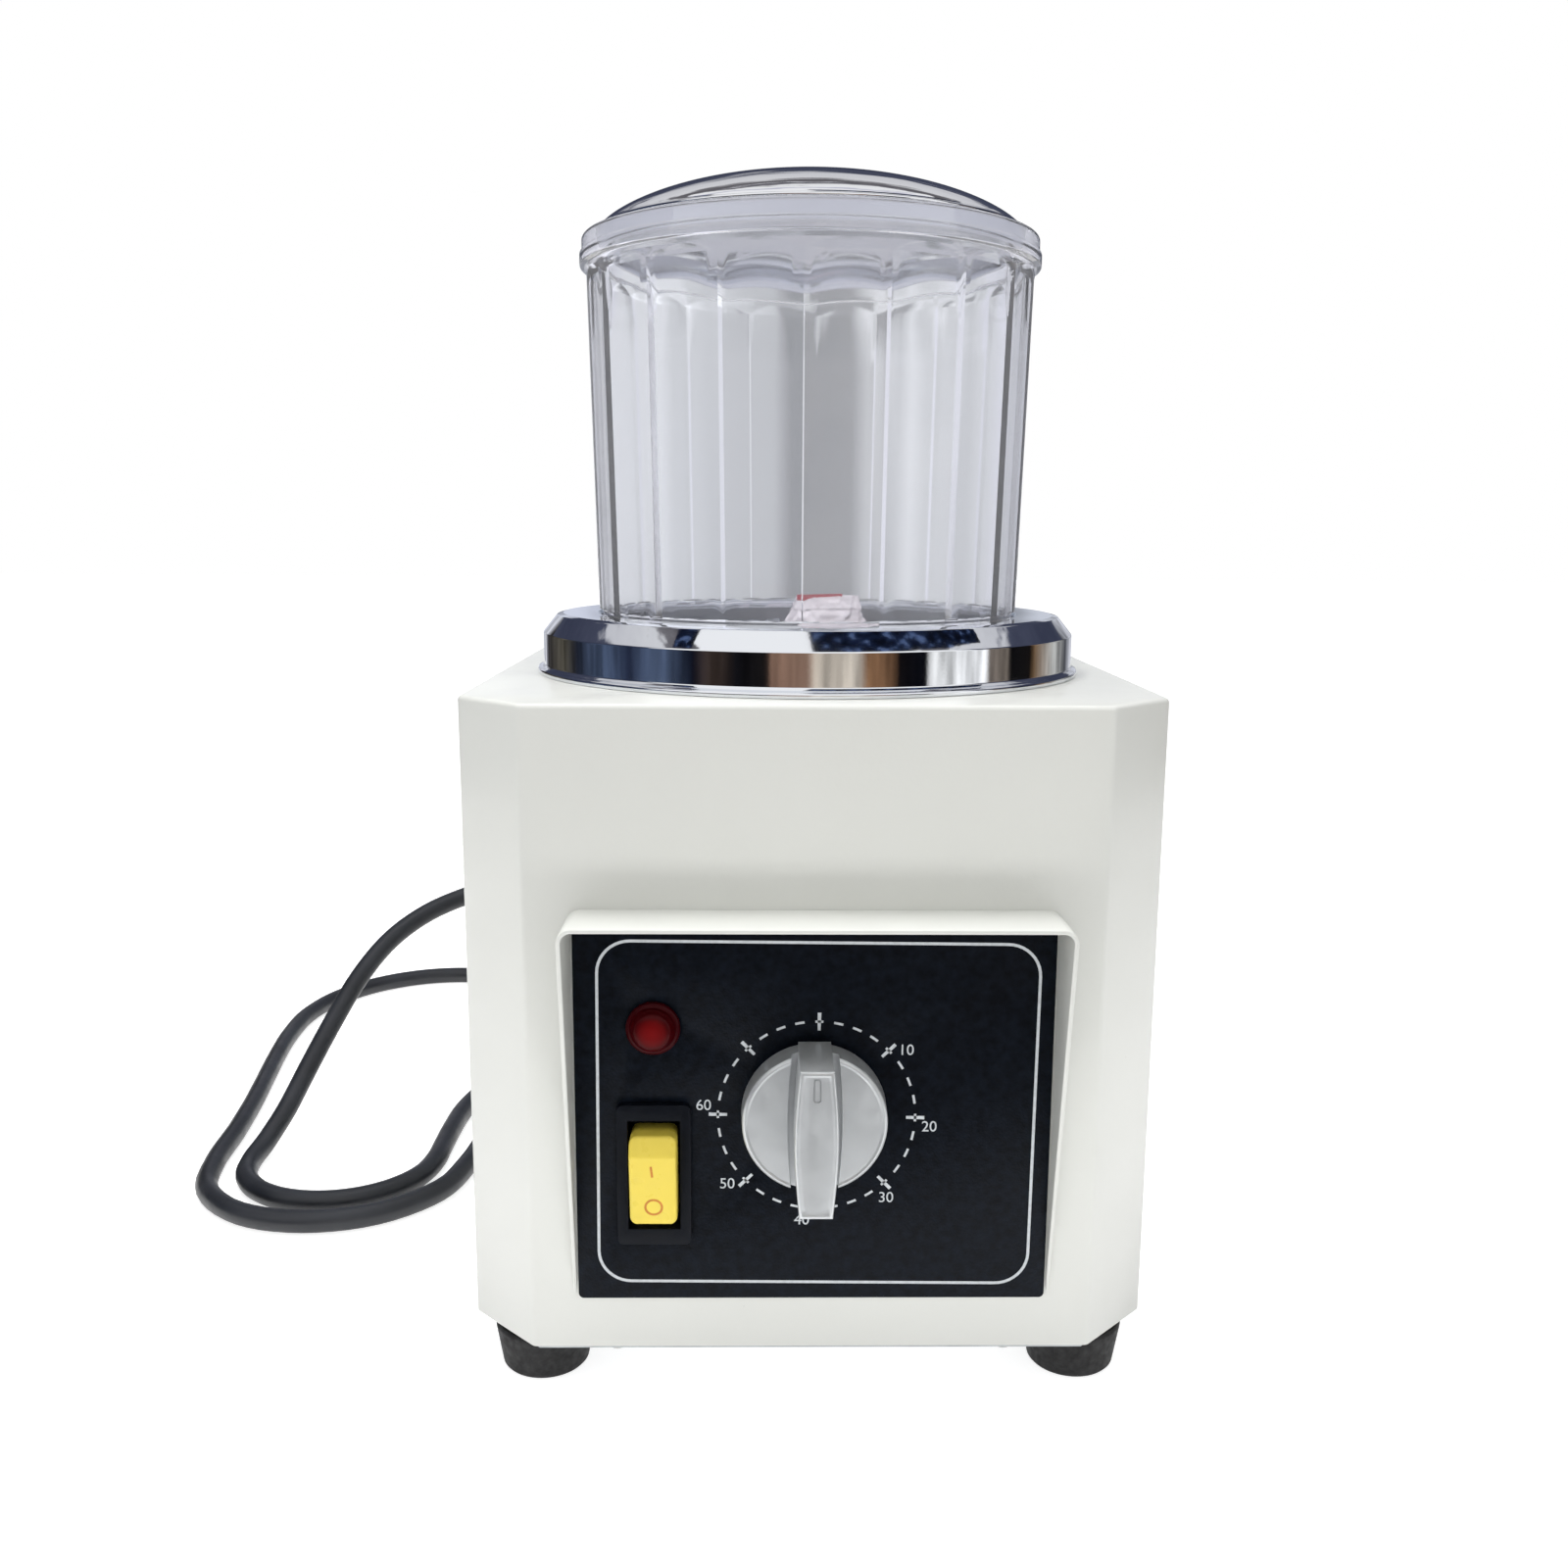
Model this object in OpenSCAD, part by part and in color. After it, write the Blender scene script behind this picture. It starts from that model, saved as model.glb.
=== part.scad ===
// Magnetic tumbler for polishing small metal parts.
// A drum magnet on a vertical motor spins under a clear bowl that lifts off a square steel casing.
// Millimetres, +Z up, the front looks along -Y, and the origin lies on the table under the middle.

/* [Casing] */
// Width of the casing from side to side
body_w = 195; // [180:1:235]
// Depth of the casing from front to back
body_d = 195; // [180:1:235]
// Height of the casing from its lower edge to its top face
body_h = 182; // [175:1:220]
// Width of the flat on each upright corner, measured along a side
corner_cut = 19.4; // [12:0.2:24]
// Thickness of the steel sheet of the casing, hood and base
sheet = 1.2; // [0.8:0.1:1.6]
// Width of the flange folded inwards along the casing's lower edge
fold_w = 12; // [8:0.5:14]
// Height of a rubber foot
foot_h = 13.8; // [10:0.2:20]
// Diameter of a foot where it meets the base
foot_d = 29; // [22:0.5:30]
// Diameter of a foot where it meets the table
foot_tip_d = 25; // [18:0.5:28]

/* [Hood and panel] */
// Width of the hood that shades the control panel
hood_w = 133.4; // [128:0.2:150]
// How far the hood's front edge stands out of the casing
hood_reach = 20; // [14:0.5:24]
// Height of the hood's top face above the casing's lower edge
hood_top = 127; // [122:0.5:135]
// Height of the hood's lower end above the casing's lower edge
hood_foot = 16.5; // [10:0.5:20]
// Thickness of the black control panel
panel_t = 1; // [0.8:0.1:2]
// Height of the timer's shaft above the casing's lower edge
timer_up = 71.3; // [62:0.1:80]
// Height of the rocker switch's middle above the casing's lower edge
rocker_up = 52.8; // [45:0.1:60]
// Distance of the switch and the lamp from the casing's middle plane
rocker_x = 43.5; // [40:0.1:48]
// Height of the pilot lamp above the casing's lower edge
lamp_up = 94.4; // [90:0.1:100]
// Diameter of the timer knob
knob_d = 39.4; // [34:0.2:42]
// How far the knob's grip bar stands out of the panel
knob_reach = 25; // [20:0.5:28]
// Width of the rocker switch's bezel
bezel_w = 20.2; // [18:0.2:24]
// Height of the rocker switch's bezel
bezel_h = 40.4; // [38:0.2:44]
// Angle that the rocker paddle swings through
rocker_throw = 18; // [10:1:20]
// Diameter of the pilot lamp's lens
lamp_d = 14.7; // [12:0.1:16]

/* [Ring and bowl] */
// Diameter of the chromed ring's foot flange
ring_foot_d = 172.8; // [166:0.2:176]
// Diameter of the chromed ring's upright wall
ring_d = 168.6; // [162:0.2:172]
// Height of the chromed ring
ring_h = 18.4; // [15:0.2:24]
// Thickness of the ring's wall
ring_wall = 2.4; // [1.8:0.1:3]
// Diameter of the bowl's lower end, which the ring's bore takes with a clearance
bowl_foot_d = 131; // [120:0.5:134]
// How much wider the bowl is at the top of its flats than at its foot
bowl_draft = 7; // [4:0.5:8]
// Height of the bowl
bowl_h = 128.4; // [110:0.2:150]
// Thickness of the bowl's wall
bowl_wall = 3; // [2:0.1:4]
// Thickness of the bowl's floor
bowl_floor = 4; // [3:0.1:6]
// Number of flats round the bowl
bowl_flats = 18; // [12:1:24]
// Height of the bowl's rim band
rim_h = 8.4; // [6:0.2:12]
// How far the rim band stands out of the bowl's wall
rim_out = 2; // [1:0.1:3]
// Rise of the lid's dome above its bead
dome_rise = 16.2; // [12:0.2:24]
// Thickness of the lid's sheet
lid_sheet = 0.8; // [0.5:0.1:1.2]
// Depth of the lid's skirt inside the bowl
skirt_h = 6.2; // [4:0.2:10]

/* [Drive] */
// Thickness of the plate that the bowl stands on
deck_t = 3; // [2:0.1:4]
// Diameter of the magnet disc
disc_d = 124; // [110:1:128]
// Thickness of the magnet disc
disc_t = 8; // [7:0.5:10]
// Diameter of each magnet
magnet_d = 20; // [16:0.5:22]
// Number of magnets
magnet_count = 8; // [4:2:10]
// Diameter of the motor's shaft
shaft_d = 8; // [6:0.5:8]
// Outside diameter of the motor
motor_d = 88; // [80:1:92]
// Height of the motor's laminated core
core_h = 40; // [30:1:44]
// Height of each motor end bell
bell_h = 18; // [17:0.5:22]
// Distance from the casing's lower edge to the motor bracket's top face
bracket_up = 145.5; // [140:0.5:150]
// Diameter of the cooling fan
fan_d = 74; // [60:1:80]

/* [Cord] */
// Diameter of the mains cord
cord_d = 8; // [8:0.5:8]
// Length of the strain relief outside the casing
relief_l = 35; // [30:1:40]
// Distance of the cord's exit from the casing's middle plane
exit_x = 45; // [40:1:50]
// Height of the cord's exit above the casing's lower edge
exit_up = 81; // [81:0.5:81]

/* [Hidden] */
$fn = 64;
// Running clearance of a shaft in its bore, on the radius
run = 0.05;
// Clearance between parts that lift or slide apart
slip = 0.6;
// Gap that keeps seated faces on different moving bodies apart
seat = 0.1;
// Small overrun that makes a cut go right through
over = 1;

// Levels and planes
base_z = foot_h;
body_z = base_z + sheet;
top_z = body_z + body_h;
deck_z = top_z + deck_t;
panel_reach = panel_t + knob_reach;
front_y = -(body_d + panel_reach + relief_l) / 2 + panel_reach;
spin_y = front_y + body_d / 2;
back_y = front_y + body_d;
face_y = front_y - panel_t;
timer_z = body_z + timer_up;
rocker_z = body_z + rocker_up;
lamp_z = body_z + lamp_up;

// Casing details
top_hole_r = disc_d / 2 + 8;
window_w = hood_w - 18;
window_z = body_z + hood_foot + 11;
window_h = hood_top - hood_foot - 26;
fold_line = fold_w * 0.55;
base_screw_at = 55;
foot_nut_r = 4.1;
base_edge = 1.5;
// A foot's top edge lies against the flat of the casing's corner
foot_in = (corner_cut + foot_d / 2 * sqrt(2)) / 2;
foot_x = body_w / 2 - foot_in;
foot_y = body_d / 2 - foot_in;
vent_l = 34;
vent_w = 3.2;
vent_pitch = 8;
vent_rows = 7;
vent_up = 108;

// Ring details
ring_bore_r = bowl_foot_d / 2 + slip;
ring_lip_h = 2.6;
ring_bevel = 5.6;
boss_r = 3.5;
boss_at = ring_d / 2 - ring_wall - boss_r + 0.4;
screw_r = 1.5;
pilot_r = 1.25;

// Bowl and lid details
bowl_z = deck_z + seat;
bowl_top = bowl_z + bowl_h;
flat_z = top_z + ring_h + 1;
flat_top = bowl_h - rim_h - 2.7;
bowl_edge_r = (bowl_foot_d + bowl_draft) / 2;
rim_r = bowl_edge_r + rim_out;
inner_foot_r = bowl_foot_d / 2 - bowl_wall;
inner_top_r = bowl_edge_r - bowl_wall - 0.6;
skirt_r = inner_top_r - slip;
seal_h = 0.6;
seal_in = 0.3;
bead_h = 1.2;
bead_r = inner_top_r + 1;
lid_z = bowl_top + seat + seal_h;
dome_r = (pow(bead_r - 1, 2) + dome_rise * dome_rise) / (2 * dome_rise);
bag_w = 34;
bag_d = 26;
bag_h = 17;
bag_x = 5;
bag_y = -4;

// Drive details
magnet_air = 1.6;
magnet_proud = 0.8;
disc_top = top_z - magnet_air - magnet_proud;
disc_z = disc_top - disc_t;
pocket_h = disc_t - 1.6;
magnet_at = disc_d / 2 - magnet_d / 2 - 5;
hub_r = 12;
hub_flange_r = 20;
hub_flange_h = 4;
hub_h = 17;
disc_screw_at = 15;
shaft_r = shaft_d / 2;
bracket_t = 2.5;
bracket_z = body_z + bracket_up - bracket_t;
bracket_w = 148;
stud_at = 62;
stud_r = 2.5;
spacer_r = 5;
motor_r = motor_d / 2;
bell_z = bracket_z - bell_h;
core_z = bell_z - core_h;
low_bell_z = core_z - bell_h;
bell_wall = 3;
lug_r = 5;
lug_at = motor_r + lug_r - bell_wall + 0.2;
bolt_r = 2;
bearing_r = 11;
bearing_h = 7;
bearing_up = 3.8;
rotor_r = motor_r * 0.5;
rotor_gap = 0.5;
winding_h = 9;
fan_h = 12;
fan_z = low_bell_z - 4 - fan_h;
fan_hub_r = 9;
shaft_z = fan_z - 2;
cap_r = 15;
cap_h = 52;
cap_x = 68;
cap_y = 58;
block_x = 68;
block_y = 45;

// Control details
shaft_slot_r = 3;
timer_w = 44;
timer_l = 34;
timer_stem_r = 3;
knob_gap = 1.6;
knob_disc_h = 9.4;
bar_w = 11.4;
bar_end_w = 8.8;
bar_cut = 1.6;
bezel_h2 = 2.2;
paddle_w = 13.6;
paddle_l = 28;
paddle_gap = 0.35;
pivot_in = 1.5;
pivot_r = 1;
paddle_ridge = 7.7;
paddle_top_out = 4.8;
paddle_ridge_out = 8.2;
paddle_foot_out = 5;
paddle_back = 5;
paddle_reach = sqrt(pow(paddle_l / 2, 2) + pow(paddle_top_out + pivot_in, 2));
rocker_open_l = 2 * paddle_reach + 0.7;
rocker_open_w = paddle_w + 2 * paddle_gap;
rocker_depth = 21;
lamp_hole_r = 6;
lamp_l = 26;

// Cord: the strain relief leaves the casing straight back. The first stretch falls to the table on
// the left, runs round behind the casing, comes back and ends in a coil close behind the casing.
relief_r = 6.6;
relief_tip_r = cord_d / 2 + 0.8;
exit_z = body_z + exit_up;
cord_r = cord_d / 2;
coil_x = 20;
coil_turn_r = 44;
coil_layers = 2;
coil_y = back_y + 106;
coil_h = coil_layers * cord_d;
plug_w = 27;
plug_l = 36;
boot_l = 22;
plug_z = coil_h - cord_r;
plug_y = coil_y - 17;
cord_sides = 10;
// Route of the cord from the strain relief to the coil, with Y measured from the casing's back
cord_route = [
  [-46, 47, 96],
  [-52, 60, 95],
  [-64, 70, 94],
  [-82, 74, 92],
  [-103, 72, 90],
  [-124, 65, 86],
  [-143, 57, 81],
  [-159, 45, 76],
  [-172, 31, 68],
  [-182, 17, 56],
  [-190, 3, 41],
  [-197, -10, 26],
  [-202, -23, 14],
  [-206, -36, 6.5],
  [-207.6, -49, 4],
  [-205, -62, 4],
  [-197.5, -73, 4],
  [-186.3, -80.4, 4],
  [-173, -83, 4],
  [-159.7, -80.4, 4],
  [-148.5, -73, 4],
  [-141, -62, 4],
  [-138.2, -49, 4],
  [-138, -36, 4],
  [-138, -20, 4],
  [-137, 0, 4],
  [-133, 20, 4],
  [-125, 45, 4],
  [-117, 70, 4],
  [-112, 96, 4],
  [-114, 124, 4],
  [-124, 150, 4],
  [-142, 171, 4],
  [-166, 182, 4],
  [-192, 180, 4],
  [-215, 166, 4],
  [-230, 144, 4],
  [-237, 118, 4],
  [-237, 90, 4],
  [-234, 62, 4],
  [-230, 34, 4],
  [-226, 6, 4],
  [-223, -22, 4],
  [-221, -50, 4],
  [-215, -74, 4],
  [-197, -92, 4],
  [-173, -98, 4],
  [-149, -92, 4],
  [-131, -74, 4],
  [-125, -50, 4],
  [-122, -25, 4],
  [-114, 0, 4],
  [-99, 20, 4],
  [-79, 34, 4],
  [-59, 47, 4],
  [-42, 63, 4],
  [-30, 83, 4]
];

// Puts its children on the spindle's axis
module at_spindle(z = 0) {
  translate([0, spin_y, z])
    children();
}

// Puts flat shapes upright, with their thickness growing out of the front
module upright(x, y, z) {
  translate([x, y, z])
    rotate([90, 0, 0])
      children();
}

// Four copies in the corners of a rectangle
module four(x, y) {
  for (sx = [-1, 1], sy = [-1, 1])
    translate([sx * x, sy * y, 0])
      children();
}

// Copies on a circle
module round_row(count, r, start = 0) {
  for (i = [0 : count - 1])
    rotate([0, 0, start + i * 360 / count])
      translate([r, 0, 0])
        children();
}

// Rectangle with its four corners cut off at 45 degrees
module cut_rect(w, d, cut) {
  polygon([
    [-w / 2 + cut, -d / 2], [w / 2 - cut, -d / 2], [w / 2, -d / 2 + cut], [w / 2, d / 2 - cut],
    [w / 2 - cut, d / 2], [-w / 2 + cut, d / 2], [-w / 2, d / 2 - cut], [-w / 2, -d / 2 + cut]
  ]);
}

// Rectangle with round corners
module round_rect(w, h, r) {
  square([w - 2 * r, h], center = true);
  square([w, h - 2 * r], center = true);
  for (sx = [-1, 1], sy = [-1, 1])
    translate([sx * (w / 2 - r), sy * (h / 2 - r)])
      circle(r);
}

// Slot with round ends, along X
module slot(l, w) {
  square([l - w, w], center = true);
  for (s = [-1, 1])
    translate([s * (l - w) / 2, 0])
      circle(w / 2);
}

// Solid of revolution from a list of [radius, height] points
module turned(points) {
  rotate_extrude($fn = 120)
    polygon(points);
}

// Round bar with its axis upright
module rod(r, z1, z2) {
  translate([0, 0, z1])
    cylinder(r = r, h = z2 - z1);
}

// Pan head screw that points up, its head below z
module screw_up(r, head_r, head_h, z, l) {
  rod(head_r, z - head_h, z);
  rod(r, z, z + l);
}

// Hexagonal nut round a bolt
module nut(across, h, hole_r) {
  difference() {
    cylinder(d = across / cos(30), h = h, $fn = 6);
    translate([0, 0, -over])
      cylinder(r = hole_r, h = h + 2 * over);
  }
}

// Points of an arc on a circle centred on the axis, from radius r1 to r2
function cap_arc(r, zc, r1, r2, n) =
  [for (i = [0 : n]) let (x = r1 + (r2 - r1) * i / n) [x, zc + sqrt(r * r - x * x)]];

// Smooth curve through a route's points, with steps places on each stretch
function bend(a, b, c, d, t) =
  0.5 * (2 * b + (c - a) * t + (2 * a - 5 * b + 4 * c - d) * t * t + (3 * b - a - 3 * c + d) * t * t * t);
function at(p, i) = p[max(0, min(len(p) - 1, i))];
function smooth(p, steps) = [
  for (i = [0 : len(p) - 2], s = [0 : steps - 1])
    bend(at(p, i - 1), p[i], p[i + 1], at(p, i + 2), s / steps),
  p[len(p) - 1]
];
function unit(v) = v / norm(v);
function heading(p, i) = unit(at(p, i + 1) - at(p, i - 1));
function ring_at(p, i, r, n) =
  let (t = heading(p, i), side = unit(cross(t, [0, 0, 1])), up = cross(side, t))
    [for (k = [0 : n - 1]) p[i] + r * (cos(360 * k / n) * side + sin(360 * k / n) * up)];

// Round tube along a route
module tube(route, d, steps, sides) {
  line = smooth(route, steps);
  count = len(line);
  points = [for (i = [0 : count - 1]) each ring_at(line, i, d / 2, sides)];
  walls = [
    for (i = [0 : count - 2], k = [0 : sides - 1])
      let (a = i * sides + k, b = i * sides + (k + 1) % sides)
        [a, b, b + sides, a + sides]
  ];
  start = [for (k = [sides - 1 : -1 : 0]) k];
  finish = [for (k = [0 : sides - 1]) (count - 1) * sides + k];
  polyhedron(points, concat(walls, [start, finish]));
}

// ---- Casing ----

module casing() {
  color([0.90, 0.90, 0.88])
    difference() {
      at_spindle(body_z)
        difference() {
          linear_extrude(body_h)
            cut_rect(body_w, body_d, corner_cut);
          casing_hollow();
          translate([0, 0, -over])
            linear_extrude(sheet + 2 * over)
              cut_rect(body_w - 2 * fold_w, body_d - 2 * fold_w, corner_cut);
          rod(top_hole_r, body_h - 2 * sheet, body_h + over);
          round_row(4, boss_at, 45)
            rod(screw_r + 0.2, body_h - 2 * sheet, body_h + over);
          base_screw_places()
            rod(screw_r + 0.1, -over, 2 * sheet);
          four(foot_x, foot_y)
            rod(foot_nut_r + slip, -over, 2 * sheet);
        }
      panel_window();
      rear_openings();
    }
}

module casing_hollow() {
  wall_cut = corner_cut - sheet * (2 - sqrt(2));
  translate([0, 0, sheet])
    linear_extrude(body_h - 2 * sheet)
      cut_rect(body_w - 2 * sheet, body_d - 2 * sheet, wall_cut);
}

// Window in the casing's front behind the control panel
module panel_window() {
  translate([-window_w / 2, front_y - over, window_z])
    cube([window_w, sheet + 2 * over, window_h]);
}

// Air slots and the cord's hole in the casing's back
module rear_openings() {
  for (i = [0 : vent_rows - 1], s = [-1, 1])
    upright(s * 30, back_y + over, body_z + vent_up + i * vent_pitch)
      linear_extrude(sheet + 2 * over)
        slot(vent_l, vent_w);
  upright(-exit_x, back_y + over, exit_z)
    cylinder(r = relief_r, h = sheet + 2 * over);
}

module base_screw_places() {
  for (s = [-1, 1], t = [-1, 1]) {
    translate([s * base_screw_at, t * (body_d / 2 - fold_line), 0])
      children();
    translate([s * (body_w / 2 - fold_line), t * (body_d / 2 - 55), 0])
      children();
  }
}

// Folded visor over the control panel, deepest at the top and nothing at its foot
module hood() {
  hood_l = hood_top - hood_foot;
  color([0.90, 0.90, 0.88])
    intersection() {
      upright(0, front_y, body_z + hood_foot + hood_l / 2)
        linear_extrude(hood_reach)
          difference() {
            hood_outline(hood_w, hood_l, 4);
            translate([0, -sheet])
              hood_outline(hood_w - 2 * sheet, hood_l, 4 - sheet);
          }
      translate([-hood_w, front_y, body_z + hood_foot])
        rotate([90, 0, 90])
          linear_extrude(2 * hood_w)
            polygon([[0, 0], [0, hood_l], [-hood_reach, hood_l], [-hood_reach, hood_l - 2.5]]);
    }
}

// Upright outline with round upper corners
module hood_outline(w, h, r) {
  translate([-w / 2, -h / 2])
    square([w, h - r]);
  translate([-w / 2 + r, h / 2 - r])
    square([w - 2 * r, r]);
  for (s = [-1, 1])
    translate([s * (w / 2 - r), h / 2 - r])
      circle(r);
}

module base_plate() {
  color([0.55, 0.56, 0.56])
    at_spindle(base_z)
      difference() {
        linear_extrude(sheet)
          cut_rect(body_w - 2 * base_edge, body_d - 2 * base_edge, corner_cut);
        for (i = [-3 : 3], s = [-1, 1])
          translate([s * 22, i * vent_pitch, -over])
            linear_extrude(sheet + 2 * over)
              slot(vent_l, vent_w);
        base_screw_places()
          rod(screw_r + 0.1, -over, sheet + over);
        four(foot_x, foot_y)
          rod(2.2, -over, sheet + over);
        translate([cap_x, cap_y, 0])
          rod(0.9, -over, sheet + over);
      }
}

module base_screws() {
  color([0.75, 0.75, 0.74])
    at_spindle()
      base_screw_places()
        screw_up(screw_r, 2.8, 1.8, base_z, 6);
}

// Tapered rubber foot with a recess for its screw's head
module foot(sx, sy) {
  head_z = 5;
  color([0.07, 0.07, 0.07])
    translate([sx * foot_x, spin_y + sy * foot_y, 0])
      turned([
        [5, 0], [foot_tip_d / 2 - 1.5, 0], [foot_tip_d / 2 - 0.4, 0.4], [foot_tip_d / 2, 1.5],
        [foot_d / 2, foot_h - 1], [foot_d / 2 - 0.6, foot_h], [2.2, foot_h],
        [2.2, head_z + 3], [5, head_z + 3]
      ]);
}

module foot_front_left() foot(-1, -1);
module foot_front_right() foot(1, -1);
module foot_rear_left() foot(-1, 1);
module foot_rear_right() foot(1, 1);

// Foot screws, each with its nut on the base plate
module foot_screws() {
  color([0.75, 0.75, 0.74])
    at_spindle()
      four(foot_x, foot_y) {
        screw_up(2, 4, 2.8, 8, foot_h - 8 + 6);
        translate([0, 0, base_z + sheet])
          nut(7, 3, 2);
      }
}

// ---- Ring and deck ----

module chrome_ring() {
  r = ring_d / 2;
  f = ring_foot_d / 2;
  inner = r - ring_wall;
  color([0.82, 0.84, 0.87])
    at_spindle(top_z) {
      turned([
        [inner, 0], [f - 0.4, 0], [f, 0.4], [f, 1.6], [f - 0.6, 2.2], [r + 0.5, 2.4], [r, 3],
        [r, ring_h - ring_bevel - 0.5], [r - 0.5, ring_h - ring_bevel],
        [r - 4.4, ring_h - 0.7], [r - 5.4, ring_h - 0.2], [r - 7, ring_h],
        [ring_bore_r + 1, ring_h - 0.2], [ring_bore_r, ring_h - 0.8], [ring_bore_r, ring_h - ring_lip_h],
        [r - 7, ring_h - ring_lip_h], [inner, ring_h - ring_bevel - 2]
      ]);
      round_row(4, boss_at, 45)
        difference() {
          rod(boss_r, deck_t, ring_h - ring_bevel - 1);
          rod(pilot_r, deck_t - over, ring_h - ring_bevel - 4);
        }
    }
}

module ring_screws() {
  color([0.75, 0.75, 0.74])
    at_spindle()
      round_row(4, boss_at, 45)
        screw_up(pilot_r, 2.8, 1.8, top_z - sheet, sheet + deck_t + 5);
}

// Plate that the bowl stands on, above the spinning magnets
module deck_plate() {
  color([0.16, 0.16, 0.17])
    at_spindle(top_z)
      difference() {
        cylinder(r = ring_d / 2 - ring_wall - slip, h = deck_t, $fn = 120);
        round_row(4, boss_at, 45)
          rod(screw_r + 0.2, -over, deck_t + over);
      }
}

// ---- Bowl and lid ----

module bowl() {
  foot_r = bowl_foot_d / 2;
  wall_z = flat_z - bowl_z;
  lip = bowl_h - rim_h;
  color([0.80, 0.83, 0.92, 0.4])
    at_spindle(bowl_z)
      difference() {
        turned([
          [0, 0], [foot_r - 2, 0], [foot_r - 0.6, 0.6], [foot_r, 2], [foot_r, wall_z - 0.5],
          [foot_r + 1, wall_z], [bowl_edge_r, lip - 1.6], [bowl_edge_r + 0.3, lip - 0.6],
          [bowl_edge_r + 1, lip - 0.1], [rim_r - 0.5, lip], [rim_r, lip + 0.5], [rim_r, lip + 3.4],
          [rim_r - 0.7, lip + 4], [rim_r - 0.7, bowl_h - 1], [rim_r - 1.5, bowl_h],
          [inner_top_r + 0.6, bowl_h], [inner_top_r, bowl_h - 0.6], [inner_top_r, bowl_h - skirt_h - 2],
          [inner_foot_r, bowl_floor + 4], [inner_foot_r - 1.2, bowl_floor + 1.2],
          [inner_foot_r - 4, bowl_floor], [0, bowl_floor]
        ]);
        for (i = [0 : bowl_flats - 1])
          rotate([0, 0, -3 + (i + 0.5) * 360 / bowl_flats - 90])
            flat_cutter(foot_r + 1, wall_z);
      }
}

// Cutter that planes one flat on the bowl and runs out towards the rim
module flat_cutter(r, wall_z) {
  flat = cos(180 / bowl_flats);
  far = rim_r + 4;
  width = 2 * far * tan(180 / bowl_flats);
  translate([0, width / 2, 0])
    rotate([90, 0, 0])
      linear_extrude(width)
        polygon([
          [r * flat, wall_z], [bowl_edge_r * flat, flat_top - 1.6], [bowl_edge_r * flat + 0.3, flat_top - 0.7],
          [bowl_edge_r + 0.1, flat_top + 1.4], [far, flat_top + 1.4], [far, wall_z]
        ]);
}

// Small bag of steel pins that lies on the bowl's floor
module pin_bag() {
  color([0.85, 0.80, 0.82])
    translate([bag_x - bag_w / 2, spin_y + bag_y, bowl_z + bowl_floor + 0.3])
      rotate([90, 0, 90])
        linear_extrude(bag_w)
          polygon([
            [-bag_d / 2, 0.5], [-bag_d / 2 + 2, 0], [bag_d / 2 - 2, 0], [bag_d / 2, 1],
            [bag_d / 2 - 3, 7], [5, bag_h - 1], [1, bag_h], [-3, bag_h - 2], [-bag_d / 2 + 2, 5]
          ]);
}

module lid() {
  zc = dome_rise + bead_h - dome_r;
  edge = bead_r - 1;
  inner = skirt_r - lid_sheet;
  color([0.84, 0.85, 0.88])
    at_spindle(lid_z)
      turned(concat(
        cap_arc(dome_r, zc, 0, edge, 20),
        [[bead_r, bead_h - 0.6], [bead_r, 0.4], [bead_r - 0.4, 0], [skirt_r, 0],
          [skirt_r, -skirt_h], [inner, -skirt_h], [inner, 1.2]],
        cap_arc(dome_r - lid_sheet, zc, inner - 0.8, 0, 20)
      ));
}

// Soft ring between the lid's bead and the bowl's rim
module lid_seal() {
  color([0.92, 0.93, 0.95])
    at_spindle(bowl_top + seat)
      turned([
        [skirt_r + 0.02, 0], [bead_r - seal_in, 0], [bead_r - seal_in, seal_h], [skirt_r + 0.02, seal_h]
      ]);
}

// ---- Spinning parts ----

module magnet_disc() {
  color([0.78, 0.79, 0.80])
    at_spindle(disc_z)
      difference() {
        cylinder(r = disc_d / 2, h = disc_t, $fn = 120);
        rod(shaft_r + run, -over, disc_t + over);
        round_row(magnet_count, magnet_at)
          rod(magnet_d / 2 + run, disc_t - pocket_h, disc_t + over);
        round_row(4, disc_screw_at, 45)
          rod(screw_r + 0.1, -over, disc_t + over);
      }
}

module magnets() {
  color([0.66, 0.66, 0.68])
    at_spindle(disc_z)
      round_row(magnet_count, magnet_at)
        rod(magnet_d / 2, disc_t - pocket_h, disc_t + magnet_proud);
}

module disc_hub() {
  color([0.72, 0.73, 0.74])
    at_spindle(disc_z - hub_h)
      difference() {
        turned([
          [0, 0], [hub_r - 1, 0], [hub_r, 1], [hub_r, hub_h - hub_flange_h],
          [hub_flange_r, hub_h - hub_flange_h], [hub_flange_r, hub_h], [0, hub_h]
        ]);
        rod(shaft_r + run, -over, hub_h + over);
        translate([0, 0, hub_h / 2 - 2])
          rotate([-90, 0, 0])
            cylinder(r = 2, h = hub_r + over);
        round_row(4, disc_screw_at, 45)
          rod(pilot_r, hub_h - hub_flange_h - over, hub_h + over);
      }
}

module disc_screws() {
  color([0.70, 0.70, 0.70])
    at_spindle(disc_z + disc_t)
      round_row(4, disc_screw_at, 45)
        mirror([0, 0, 1])
          screw_up(pilot_r, 2.6, 0.8, 0, disc_t + hub_flange_h);
}

module hub_set_screw() {
  color([0.2, 0.2, 0.2])
    at_spindle(disc_z - hub_h / 2 - 2)
      rotate([-90, 0, 0])
        translate([0, 0, shaft_r + run])
          cylinder(r = 2, h = hub_r - shaft_r - run - 0.5);
}

module motor_shaft() {
  color([0.80, 0.81, 0.82])
    at_spindle()
      rod(shaft_r, shaft_z, disc_z + disc_t - 1);
}

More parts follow.
